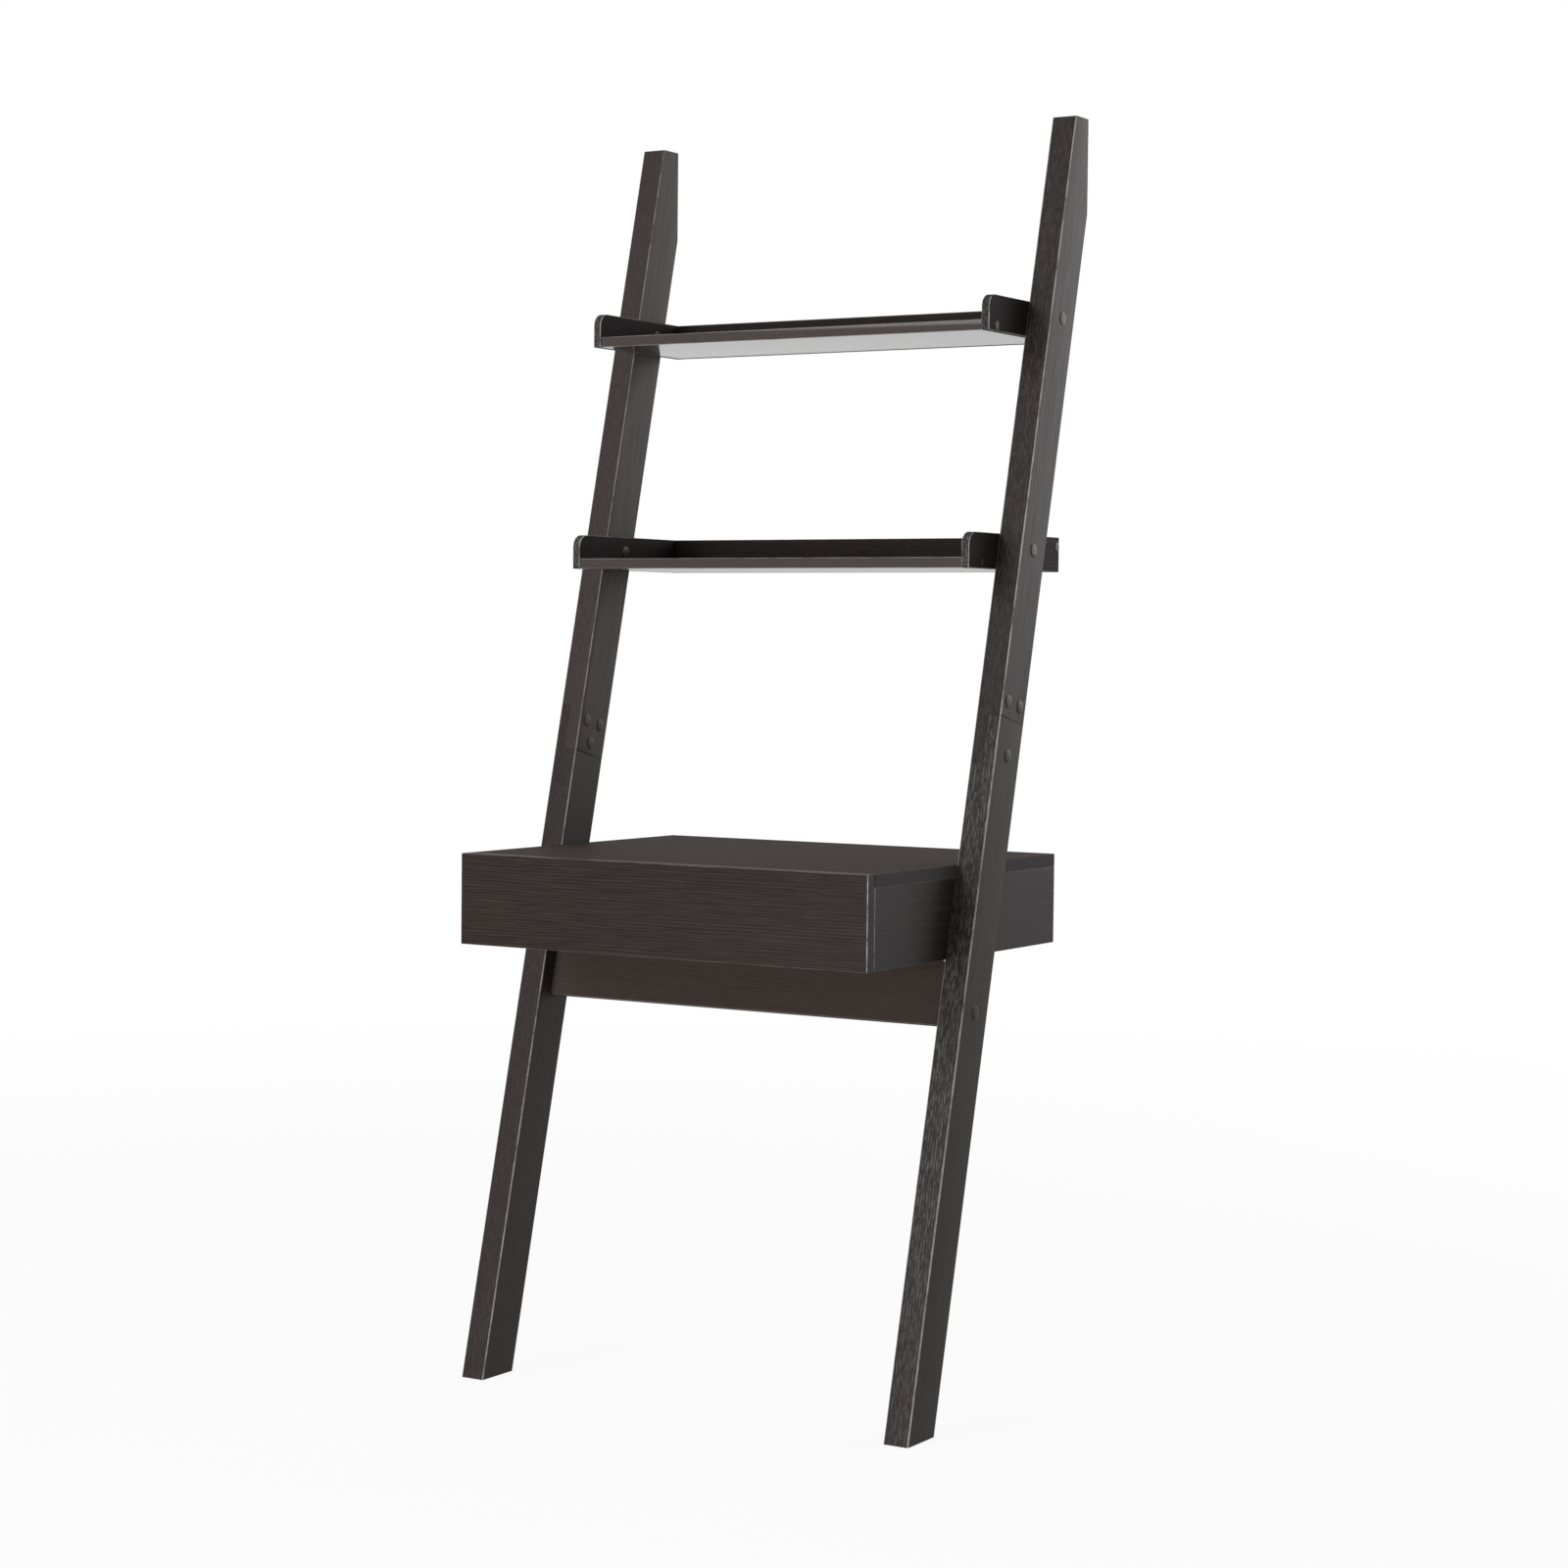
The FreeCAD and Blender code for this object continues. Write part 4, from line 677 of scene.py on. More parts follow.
def solid_boxes(source: Object) -> list[tuple[Vector, Vector]]:
    """The boxes round the solids of a packed group.

    Args:
        source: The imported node.

    Returns:
        The lowest and highest corner of each solid, in a fixed order.
    """
    shell = merged_shell(source)
    left = set(shell.verts)
    boxes = []
    while left:
        island, waiting = set(), [left.pop()]
        while waiting:
            vertex = waiting.pop()
            island.add(vertex)
            near = {edge.other_vert(vertex) for edge in vertex.link_edges} & left
            left -= near
            waiting.extend(near)
        corners = [vertex.co for vertex in island]
        low = Vector([min(corner[axis] for corner in corners) for axis in range(3)])
        high = Vector([max(corner[axis] for corner in corners) for axis in range(3)])
        boxes.append((low, high))
    shell.free()
    return sorted(boxes, key=lambda box: tuple(round(part, 5) for part in box[0] + box[1]))


def evenly(share: float) -> FaceShare:
    """The same share on every face."""
    return lambda normal: share


def edge_pores(facing: Vector, openness: float) -> FaceShare:
    """Open pores on the narrow faces that look one way or back, and filled ones elsewhere."""
    return lambda normal: openness if abs(normal.dot(facing)) > FACING else FILLED


@dataclass(frozen=True)
class Board:
    """One board of the desk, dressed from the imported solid.

    The shares go from 0 to 1, and a stain above 1 is still lighter.
    """

    node: str
    finish: Finish
    thin: Vector
    pores_on: FaceShare = evenly(FILLED)
    stain: float = 0.5
    # The shares of the arrises' light colour, along the grain and at the ends across it: worn
    # edges and a painted highlight.
    wear_and_highlight: float = 0.8
    figure: float = 0.6
    rubbed_ends: float = 0.8
    banded: bool = False
    sealed_on: FaceShare = evenly(0.0)
    pattern_reach: float = 9
    strip_width: float = 0.0011
    strip_reach: float = 0.0008
    smallest_shoulder: float = 0.0001

    def build(self, source: Object, material: Material) -> Object:
        """Copy, merge and dress the solid.

        Args:
            source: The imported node.
            material: The board's finish.

        Returns:
            The dressed piece.
        """
        name = f"{self.node}_board"
        piece = placed(name, merged_copy(source, name, material, self.mark_faces))
        shade_evenly(piece)
        return piece

    def mark_faces(self, shell: BMesh) -> None:
        """Store on each face what the finish reads, and the place of the board's pattern.

        Args:
            shell: The merged solid.
        """
        names = ("arris_wear_and_highlight", "pores", "sealed", "stain", "figure", "seam_shade", "banded")
        layers = {name: shell.faces.layers.float.new(name) for name in names}
        shift = shell.faces.layers.float_vector.new("board_shift")
        axes = self.finish.value.grain.frame()
        lapped = self.finish is Finish.STILE
        # Strips beside the half-lap shoulders that are painted dark as the groove's shade.
        joints = self.painted_shade_strips(shell, axes[0]) if lapped else set()
        dice = random.Random(self.node)
        place = Vector([dice.uniform(0, self.pattern_reach) for _ in range(3)])
        for face in shell.faces:
            turned = axes @ face.normal
            slanted = max(abs(part) for part in turned) < NEARLY_SQUARE
            eased = slanted and abs(face.normal.dot(self.thin)) > PARTLY
            across = abs(turned.x) > PARTLY
            at_lap = lapped and across
            # The arris's share of worn and painted-highlight colour.
            worn = self.rubbed_ends if across else self.wear_and_highlight
            marks = {
                "arris_wear_and_highlight": worn if eased and not at_lap else 0.0,
                "pores": self.pores_on(face.normal),
                "sealed": self.sealed_on(face.normal),
                "stain": self.stain,
                "figure": self.figure,
                # Painted shade: the lap's chamfers and the strips beside its shoulders.
                "seam_shade": float((eased and at_lap) or face in joints),
                "banded": float(self.banded and abs(turned.x) > NEARLY_SQUARE),
            }
            for name, share in marks.items():
                face[layers[name]] = share
            face[shift] = place

    def shoulders(self, shell: BMesh,
                  along: Vector) -> dict[tuple[float, bool], set[float]]:
        """Find the shoulders of a half lap: faces across the board that aren't the ends of holes.

        Args:
            shell: The merged solid.
            along: The board's length.

        Returns:
            The places across the desk that each shoulder reaches, by its level along the board
            and by whether it looks up the board.
        """
        found: dict[tuple[float, bool], set[float]] = {}
        for face in shell.faces:
            slope = face.normal.dot(along)
            if abs(slope) > SQUARE_ON and face.calc_area() > self.smallest_shoulder:
                level = round(face.verts[0].co.dot(along), 4)
                sides = found.setdefault((level, slope > 0), set())
                sides.update(round(vertex.co.x, 3) for vertex in face.verts)
        return found

    def painted_shade_strips(self, shell: BMesh, along: Vector) -> set[BMFace]:
        """Cut narrow strips beside the shoulders of a half lap, which are painted dark as the
        shade of the joint's groove.

        Args:
            shell: The merged solid.
            along: The board's length.

        Returns:
            The faces of the strips.
        """
        strips = set()
        for (level, upwards), sides in self.shoulders(shell, along).items():
            inner = level - self.strip_width if upwards else level + self.strip_width
            flat = [face for face in shell.faces if abs(face.normal.x) > FLAT
                    and any(abs(face.verts[0].co.x - side) < self.strip_reach for side in sides)]
            parts = set(flat) | {edge for face in flat for edge in face.edges}
            parts |= {vertex for face in flat for vertex in face.verts}
            bmesh.ops.bisect_plane(shell, geom=list(parts), dist=ON_CUT, plane_co=along * inner,
                                   plane_no=along)
            for face in shell.faces:
                middle = face.calc_center_median().dot(along)
                between = min(inner, level) < middle < max(inner, level)
                if between and abs(face.normal.x) > FLAT:
                    strips.add(face)
        return strips


def spin_profile(shell: BMesh, profile: Sequence[tuple[float, float]],
                 steps: int) -> None:
    """Add a turned shape about Z to a shell.

    Args:
        shell: The shell to add to.
        profile: Radius and height of the half section.
        steps: Faces round the axis.
    """
    before = set(shell.verts)
    points = [shell.verts.new((radius, 0, height)) for radius, height in profile]
    edges = [shell.edges.new(pair) for pair in zip(points, points[1:])]
    bmesh.ops.spin(shell, geom=points + edges, cent=(0, 0, 0), axis=Z_AXIS, angle=math.tau,
                   steps=steps, use_merge=True)
    added = [vertex for vertex in shell.verts if vertex not in before]
    bmesh.ops.remove_doubles(shell, verts=added, dist=TURNED_WELD)


def finished(shell: BMesh, name: str) -> Mesh:
    """Turn a closed shell into a smooth-shaded mesh with sharp corners, its faces outwards.

    Args:
        shell: The shell, which is used up.
        name: The new mesh's name.

    Returns:
        The new mesh.
    """
    bmesh.ops.recalc_face_normals(shell, faces=shell.faces)
    for face in shell.faces:
        face.smooth = True
    for edge in shell.edges:
        edge.smooth = edge.calc_face_angle(0.0) < SHARP
    mesh = bpy.data.meshes.new(name)
    shell.to_mesh(mesh)
    shell.free()
    return mesh


class Recess(Enum):
    """The driver's recess in a fastener's head."""

    CROSS = "cross"
    HEXAGON = "hexagon"

    def outline(self, size: float) -> list[tuple[float, float]]:
        """The corners of the recess.

        Args:
            size: The furthest reach from the middle.

        Returns:
            The corners in order.
        """
        if self is Recess.HEXAGON:
            turns = [math.radians(turn) for turn in range(0, 360, 60)]
            return [(size * math.cos(turn), size * math.sin(turn)) for turn in turns]
        arm = CROSS_ARM * size
        corners = [(size, -arm), (size, arm), (arm, arm)]
        outline = []
        for _ in range(4):
            outline += corners
            corners = [(-y, x) for x, y in corners]
        return outline


@dataclass(frozen=True)
class Head:
    """A turned fastener whose flat head is at the origin, with a recess for the driver."""

    profile: Profile
    recess: Recess
    size: float
    depth: float
    steps: int = 28

    def add_to(self, shell: BMesh) -> None:
        """Add the fastener, whose profile ends at the head's rim, and cut its recess.

        Args:
            shell: The shell to add to.
        """
        spin_profile(shell, self.profile, self.steps)
        rim = [edge for edge in shell.edges if edge.is_boundary]
        corners = self.recess.outline(self.size)
        upper = [shell.verts.new((x, y, 0)) for x, y in corners]
        lower = [shell.verts.new((x, y, -self.depth)) for x, y in corners]
        places = range(len(corners))
        mouth = [shell.edges.new((upper[place - 1], upper[place])) for place in places]
        bmesh.ops.triangle_fill(shell, use_beauty=True, edges=rim + mouth)
        for place in places:
            shell.faces.new((upper[place - 1], upper[place], lower[place], lower[place - 1]))
        shell.faces.new(lower)

    def mesh(self, name: str) -> Mesh:
        """Make the fastener as a mesh of its own.

        Args:
            name: The mesh's name.

        Returns:
            The mesh.
        """
        shell = bmesh.new()
        self.add_to(shell)
        return finished(shell, name)


@dataclass(frozen=True)
class CamLock:
    """A cam lock: a head with a cross, a base, and two curved walls that leave the bolt a way.

    The line is the depth of the bolt's axis, and shares are of the radius.
    """

    radius: float
    depth: float
    line: float
    bolt: float = 0.0034
    bevel: float = 0.0005
    recess_share: float = 0.56
    recess_depth: float = 0.0016
    wall_shares: tuple[float, float] = (0.68, 0.96)
    wall_angles: tuple[int, int] = (47, 133)
    wall_steps: int = 8
    steps: int = 28

    def mesh(self, name: str) -> Mesh:
        """Make the lock, with the bolt's way along X.

        Args:
            name: The mesh's name.

        Returns:
            The mesh.
        """
        shell = bmesh.new()
        radius, roof, floor = self.radius, -(self.line - self.bolt), -(self.line + self.bolt)
        head = ((0, roof), (radius, roof), (radius, -self.bevel), (radius - self.bevel, 0))
        Head(head, Recess.CROSS, self.recess_share * radius, self.recess_depth,
             self.steps).add_to(shell)
        base = [(0, -self.depth), (radius, -self.depth), (radius, floor), (0, floor)]
        spin_profile(shell, base, self.steps)
        for half in (0, 180):
            self.add_wall(shell, half, roof, floor)
        return finished(shell, name)

    def add_wall(self, shell: BMesh, half: int, roof: float, floor: float) -> None:
        """Add one curved wall between the head and the base.

        Args:
            shell: The shell to add to.
            half: The turn of the wall in degrees.
            roof: The height of the head's underside.
            floor: The height of the base's upper face.
        """
        inner, outer = (share * self.radius for share in self.wall_shares)
        first, last = self.wall_angles
        turns = [math.radians(half + first + (last - first) * step / self.wall_steps)
                 for step in range(self.wall_steps + 1)]
        rings = []
        for radius, height in ((inner, floor), (outer, floor), (outer, roof), (inner, roof)):
            corners = [(radius * math.cos(turn), radius * math.sin(turn)) for turn in turns]
            rings.append([shell.verts.new((x, y, height)) for x, y in corners])
        for ring, following in zip(rings, rings[1:] + rings[:1]):
            for step in range(self.wall_steps):
                shell.faces.new((ring[step], ring[step + 1],
                                 following[step + 1], following[step]))
        shell.faces.new([ring[0] for ring in rings])
        shell.faces.new([ring[-1] for ring in rings])


@dataclass(frozen=True)
class Cap:
    """A low domed cover cap with a rolled rim, its seat at the origin."""

    radius: float
    thickness: float
    rim_share: float = 0.3
    dome_angles: tuple[int, ...] = (0, 8, 18, 32, 48, 64, 78)
    steps: int = 32

    def mesh(self, name: str) -> Mesh:
        """Make the cap.

        Args:
            name: The mesh's name.

        Returns:
            The mesh.
        """
        rim = self.rim_share * self.thickness
        turns = [math.radians(angle) for angle in self.dome_angles]
        dome = [(self.radius * math.cos(turn), rim + (self.thickness - rim) * math.sin(turn))
                for turn in turns]
        shell = bmesh.new()
        spin_profile(shell, [(0, 0), (self.radius, 0), *dome, (0, self.thickness)], self.steps)
        return finished(shell, name)


@dataclass(frozen=True)
class Seat:
    """Where a fastener sits: its place, the way its head faces and the way its body is turned."""

    place: Vector
    facing: Vector
    along: Vector


def any_turn(middle: Vector) -> Vector:
    """No way in particular, for a fastener whose body may have any turn."""
    return Vector()


def outwards(middle: Vector) -> Vector:
    """Away from the middle of the desk, along its width."""
    return Vector((math.copysign(1, middle.x), 0, 0))


def inwards(middle: Vector) -> Vector:
    """Towards the middle of the desk, along its width."""
    return -outwards(middle)


def seats(source: Object, facing: Way, on_top: bool, along: Way) -> list[Seat]:
    """The seats of a packed group of fasteners.

    Args:
        source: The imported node.
        facing: Gives the way a head faces from the middle of its solid.
        on_top: Whether the pattern's origin is at the head rather than at the seat.
        along: Gives the way a body is turned from the middle of its solid.

    Returns:
        One seat for each solid.
    """
    found = []
    for low, high in solid_boxes(source):
        middle = (low + high) / 2
        way = facing(middle)
        reach = sum(abs(part) * size / 2 for part, size in zip(way, high - low))
        found.append(Seat(middle + way * (reach if on_top else -reach), way, along(middle)))
    return found


@dataclass
class FastenerSet:
    """Like fasteners set at the places of a packed group, each turned to face out of its hole."""

    name: str
    seats: list[Seat]
    pattern: Mesh
    size: float = 1.0
    seed: int = 3
    turn: float = math.pi

    def tree(self) -> NodeTree:
        """Make the node tree that sets the pattern at every spot.

        Returns:
            The tree.
        """
        tree = bpy.data.node_groups.new(f"{self.name}_setting", "GeometryNodeTree")
        for name, kind in (("Spots", "Geometry"), ("Pattern", "Object"), ("Size", "Float"),
                           ("Turn", "Float"), ("Seed", "Int"), ("Finish", "Material")):
            tree.interface.new_socket(name, in_out="INPUT", socket_type=f"NodeSocket{kind}")
        tree.interface.new_socket("Fasteners", in_out="OUTPUT", socket_type="NodeSocketGeometry")
        graph = Graph(tree)
        given = graph.node("NodeGroupInput").outputs
        shape = graph.node("GeometryNodeObjectInfo", None, {"Object": given["Pattern"]})
        facing, along = (
            graph.node("GeometryNodeInputNamedAttribute", {"data_type": "FLOAT_VECTOR"},
                       {"Name": name}).outputs[0] for name in ("facing", "along"))
        head = graph.node("FunctionNodeAlignRotationToVector", {"axis": "Z"}, {"Vector": facing})
        aim = graph.node("FunctionNodeAlignRotationToVector", {"axis": "X", "pivot_axis": "Z"},
                         {"Rotation": head.outputs[0], "Vector": along})
        spin = graph.node("FunctionNodeRandomValue", {"data_type": "FLOAT"},
                          {2: 0.0, 3: given["Turn"], "Seed": given["Seed"]})
        about = graph.node("FunctionNodeAxisAngleToRotation", None,
                           {"Axis": Z_AXIS, "Angle": spin.outputs[1]})
        turned = graph.node("FunctionNodeRotateRotation", {"rotation_space": "LOCAL"},
                            {0: aim.outputs[0], 1: about.outputs[0]})
        copies = graph.node("GeometryNodeInstanceOnPoints", None,
                            {"Points": given["Spots"], "Instance": shape.outputs["Geometry"],
                             "Rotation": turned.outputs[0], "Scale": given["Size"]})
        real = graph.node("GeometryNodeRealizeInstances", None, {0: copies.outputs[0]})
        dressed = graph.node("GeometryNodeSetMaterial", None,
                             {"Geometry": real.outputs[0], "Material": given["Finish"]})
        graph.node("NodeGroupOutput", None, {0: dressed.outputs[0]})
        return tree

    def build(self, material: Material) -> Object:
        """Set the pattern and turn the result into a plain mesh.

        Args:
            material: The fasteners' finish.

        Returns:
            One object with all the fasteners in its mesh.
        """
        carrier = bpy.data.meshes.new(f"{self.name}_spots")
        carrier.from_pydata([seat.place for seat in self.seats], [], [])
        for name in ("facing", "along"):
            ways = carrier.attributes.new(name, "FLOAT_VECTOR", "POINT")
            parts = [part for seat in self.seats for part in getattr(seat, name)]
            ways.data.foreach_set("vector", parts)
        piece = placed(self.name, carrier)
        pattern = placed(f"{self.name}_pattern", self.pattern)
        setting = piece.modifiers.new("setting", "NODES")
        setting.node_group = self.tree()
        values = {"Pattern": pattern, "Size": self.size, "Turn": self.turn, "Seed": self.seed,
                  "Finish": material}
        for item in setting.node_group.interface.items_tree:
            if item.in_out == "INPUT" and item.name in values:
                setting[item.identifier] = values[item.name]
        scene_view = bpy.context.evaluated_depsgraph_get()
        scene_view.update()
        mesh = bpy.data.meshes.new_from_object(piece.evaluated_get(scene_view))
        mesh.name = f"{self.name}_mesh"
        piece.modifiers.remove(setting)
        piece.data = mesh
        bpy.data.objects.remove(pattern)
        bpy.data.meshes.remove(carrier)
        return piece


@dataclass
class Assembly:
    """What the desk's sub-assemblies share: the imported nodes, the finishes and their body."""

    nodes: dict[str, Object]
    materials: dict[Finish, Material]
    body: str = "frame"

    def carry(self, piece: Object, finish: Finish, node: str, body: str) -> None:
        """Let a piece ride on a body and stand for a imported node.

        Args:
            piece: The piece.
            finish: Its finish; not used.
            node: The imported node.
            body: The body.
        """
        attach(piece, body)
        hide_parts(node)
        log.info("%s rides on %s", piece.name, body)

    def dress(self, board: Board) -> None:
        """Dress one board of this sub-assembly."""
        piece = board.build(self.nodes[board.node], self.materials[board.finish])
        self.carry(piece, board.finish, board.node, self.body)

    def set_caps(self, name: str, node: str, cap: Cap, way: Way) -> None:
        """Set a domed cap at the place of every packed one.

        Args:
            name: The piece's name.
            node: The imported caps.
            cap: Their shape.
            way: Gives the way a cap faces from its middle.
        """
        places = seats(self.nodes[node], way, on_top=False, along=any_turn)
        caps = FastenerSet(name, places, cap.mesh(f"{node}_pattern"))
        self.carry(caps.build(self.materials[Finish.CAP]), Finish.CAP, node, self.body)

    def keep(self, node: str, finish: Finish) -> None:
        """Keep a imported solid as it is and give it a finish.

        Args:
            node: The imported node.
            finish: Its finish.
        """
        mesh = self.nodes[node].data
        mesh.materials.clear()
        mesh.materials.append(self.materials[finish])
        log.info("%s keeps its solid", node)


@dataclass(frozen=True)
class StileLength:
    """One length of a stile: how open its front pores are, its stain, and the wear and painted
    highlight on its arrises.
    """

    node: str
    pores: float
    stain: float
    wear_and_highlight: float


@dataclass
class Ladder(Assembly):
    """The two stiles with their half laps, the stretcher panel and the caps on the stiles."""

    lengths: tuple[StileLength, ...] = (
        StileLength("left_lower_stile", pores=0.12, stain=0.5, wear_and_highlight=0.5),
        StileLength("left_upper_stile", pores=0.1, stain=1.1, wear_and_highlight=0.35),
        StileLength("right_lower_stile", pores=0.46, stain=0.38, wear_and_highlight=0.6),
        StileLength("right_upper_stile", pores=0.2, stain=0.3, wear_and_highlight=0.6))
    cap: Cap = Cap(0.0095, 0.0012)
    outer_face: float = 0.36

    def build(self) -> None:
        """Dress the stiles and the stretcher, and set the caps."""
        ahead = Grain.ALONG_STILE.frame()[1]
        for length in self.lengths:
            self.dress(Board(length.node, Finish.STILE, X_AXIS, edge_pores(ahead, length.pores),
                             stain=length.stain, wear_and_highlight=length.wear_and_highlight, figure=0.3))
        self.dress(Board("stretcher_panel", Finish.MATT, ahead, evenly(0.05), stain=0.9,
                         wear_and_highlight=0.2))
        self.set_caps("stile_caps", "stile_cover_caps", self.cap, self.cap_way)

    def cap_way(self, middle: Vector) -> Vector:
        """The way a cap faces: out of the face of the stile that it is on."""
        return outwards(middle) if abs(middle.x) > self.outer_face else inwards(middle)


@dataclass
class Tray(Assembly):
    """One tray: two ends with rounded front corners, a shelf and a rail along the wall."""

    name: str = "upper"
    underside_sheen: float = 0.8
    front_sheen: float = 0.55
    open_pores: float = 1.0
    closed_pores: float = 0.02

    def build(self) -> None:
        """Dress the four boards."""
        for side in SIDES:
            self.dress(Board(f"{self.name}_tray_{side}_end", Finish.TRAY_END, X_AXIS,
                             self.end_pores, stain=0.3, wear_and_highlight=0.4, figure=0.3))
        self.dress(Board(f"{self.name}_tray_shelf", Finish.VENEER, Z_AXIS, stain=1.0, wear_and_highlight=0.35,
                         sealed_on=self.shelf_sheen))
        self.dress(Board(f"{self.name}_tray_rail", Finish.VENEER, Y_AXIS, evenly(0.05), stain=0.25,
                         wear_and_highlight=0.4))

    def end_pores(self, normal: Vector) -> float:
        """Open pores on the edges of an end, and closed ones on its faces."""
        return self.open_pores if abs(normal.x) < FACING else self.closed_pores

    def shelf_sheen(self, normal: Vector) -> float:
        """Give the shelf's underside and its front edge a coat that shines.

        Args:
            normal: The way a face looks.

        Returns:
            The coat's share on it.
        """
        if normal.z < -FLAT:
            return self.underside_sheen
        return self.front_sheen if normal.y < -FACING else 0.0


@dataclass
class TrayCaps(Assembly):
    """The caps on the sleeve nuts inside the trays and on the screws outside their ends."""

    nut_cap: Cap = Cap(0.0095, 0.0012)
    screw_cap: Cap = Cap(0.007, 0.001)

    def build(self) -> None:
        """Set both kinds of cap."""
        self.set_caps("tray_cover_caps_domed", "tray_cover_caps", self.nut_cap, inwards)
        self.set_caps("tray_screw_caps_domed", "tray_screw_caps", self.screw_cap, outwards)


@dataclass
class DeskBox(Assembly):
    """The fixed box: top, two sides and back."""

    # The share of worn and painted-highlight colour on the box's arrises.
    wear_and_highlight: float = 0.12

    def build(self) -> None:
        """Dress the four boards."""
        self.dress(Board("desk_top", Finish.MATT, Z_AXIS, stain=0.6, wear_and_highlight=self.wear_and_highlight,
                         figure=1.0, rubbed_ends=self.wear_and_highlight, banded=True))
        for side in SIDES:
            # The sides' low stain share sets them darker, partly as painted shade where the stiles
            # shadow them.
            self.dress(Board(f"desk_{side}_side", Finish.BOX_SIDE, X_AXIS, stain=0.2,
                             wear_and_highlight=self.wear_and_highlight, rubbed_ends=0.6))
        self.dress(Board("desk_back", Finish.VENEER, Y_AXIS, evenly(0.15)))


@dataclass
class Drawer(Assembly):
    """The drawer: an overlaid front, two sides, a back and a thin bottom."""

    body: str = "drawer"
    box_pores: float = 0.3

    def build(self) -> None:
        """Dress the five boards."""
        self.dress(Board("drawer_front", Finish.VENEER, Y_AXIS, stain=0.42, wear_and_highlight=0.15,
                         figure=1.0, rubbed_ends=1.0, banded=True))
        for side in SIDES:
            self.dress(Board(f"drawer_{side}_side", Finish.DRAWER_SIDE, X_AXIS,
                             evenly(self.box_pores)))
        self.dress(Board("drawer_back", Finish.DRAWER_BACK, Y_AXIS, evenly(self.box_pores)))
        self.dress(Board("drawer_bottom", Finish.HARDBOARD, Z_AXIS, evenly(0.0)))


@dataclass
class Slides(Assembly):
    """The two roller slides: folded rails on the desk and the drawer, and four ribbed rollers."""

    bend: float = 0.0004
    bend_steps: int = 2
    bore: float = 0.00255
    hub: float = 0.0043
    web_sink: float = 0.0011
    web_slope: float = 0.0004
    rim: float = 0.0024
    rim_round: tuple[float, float] = (0.0003, 0.0009)
    ribs: int = 6
    rib_share: float = 0.8
    rib_spacing: int = 6

    def build(self) -> None:
        """Dress the rails and make the rollers."""
        for side in SIDES:
            self.rail(f"{side}_cabinet_rail", "frame")
            self.rail(f"{side}_drawer_rail", "drawer")
            for end in ("front", "rear"):
                self.roller(f"{side}_{end}_roller")

    def rail(self, node: str, body: str) -> None:
        """Copy a rail and round its bends.

        Args:
            node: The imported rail.
            body: The body that carries it.
        """
        name = f"{node}_folded"
        material = self.materials[Finish.SLIDE]
        piece = placed(name, merged_copy(self.nodes[node], name, material, drop_flat_edges))
        bends = piece.modifiers.new("bends", "BEVEL")
        bends.width = self.bend
        bends.segments = self.bend_steps
        bends.limit_method = "ANGLE"
        bends.angle_limit = SHARP
        shade_evenly(piece)
        self.carry(piece, Finish.SLIDE, node, body)

    def roller(self, node: str) -> None:
        """Make a roller with a hub, a sunk and ribbed web and a rounded rim.

        Args:
            node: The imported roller, and the name of its body.
        """
        low, high = (Vector(corner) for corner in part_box(node))
        width, radius = (high - low).x, (high - low).z / 2
        inner = radius - self.rim
        near, far = self.rim_round
        side = [(self.bore, 0.0), (self.hub, 0.0), (self.hub + self.web_slope, self.web_sink),
                (inner, self.web_sink), (inner + self.web_slope, 0.0), (radius - far, 0.0),
                (radius - near, near), (radius, far)]
        profile = side + [(reach, width - height) for reach, height in reversed(side)] + side[:1]
        shell = bmesh.new()
        spin_profile(shell, profile, self.rib_spacing * self.ribs)
        self.raise_ribs(shell, width)
        turn = Matrix.Rotation(math.pi / 2, 4, "Y") @ Matrix.Translation((0, 0, -width / 2))
        shell.transform(Matrix.Translation((low + high) / 2) @ turn)
        mesh = finished(shell, f"{node}_ribbed")
        mesh.materials.append(self.materials[Finish.NYLON])
        self.carry(placed(f"{node}_ribbed", mesh), Finish.NYLON, node, node)

    def raise_ribs(self, shell: BMesh, width: float) -> None:
        """Raise evenly spaced faces of both webs, so that the turning of a roller shows.

        Args:
            shell: The turned roller.
            width: Its width.
        """
        shell.normal_update()
        step = math.tau / (self.rib_spacing * self.ribs)
        for height, way in ((self.web_sink, -1), (width - self.web_sink, 1)):
            web = []
            for face in shell.faces:
                middle = face.calc_center_median()
                place = round(math.atan2(middle.y, middle.x) / step - 0.5)
                if abs(middle.z - height) < ON_LEVEL and place % self.rib_spacing == 0:
                    web.append(face)
            raised = bmesh.ops.extrude_discrete_faces(shell, faces=web)["faces"]
            points = {vertex for face in raised for vertex in face.verts}
            lift = Z_AXIS * (way * self.rib_share * self.web_sink)
            bmesh.ops.translate(shell, verts=list(points), vec=lift)


def drop_flat_edges(shell: BMesh) -> None:
    """Join the triangles of flat faces."""
    bmesh.ops.dissolve_limit(shell, angle_limit=FLAT_EDGE, verts=shell.verts, edges=shell.edges)


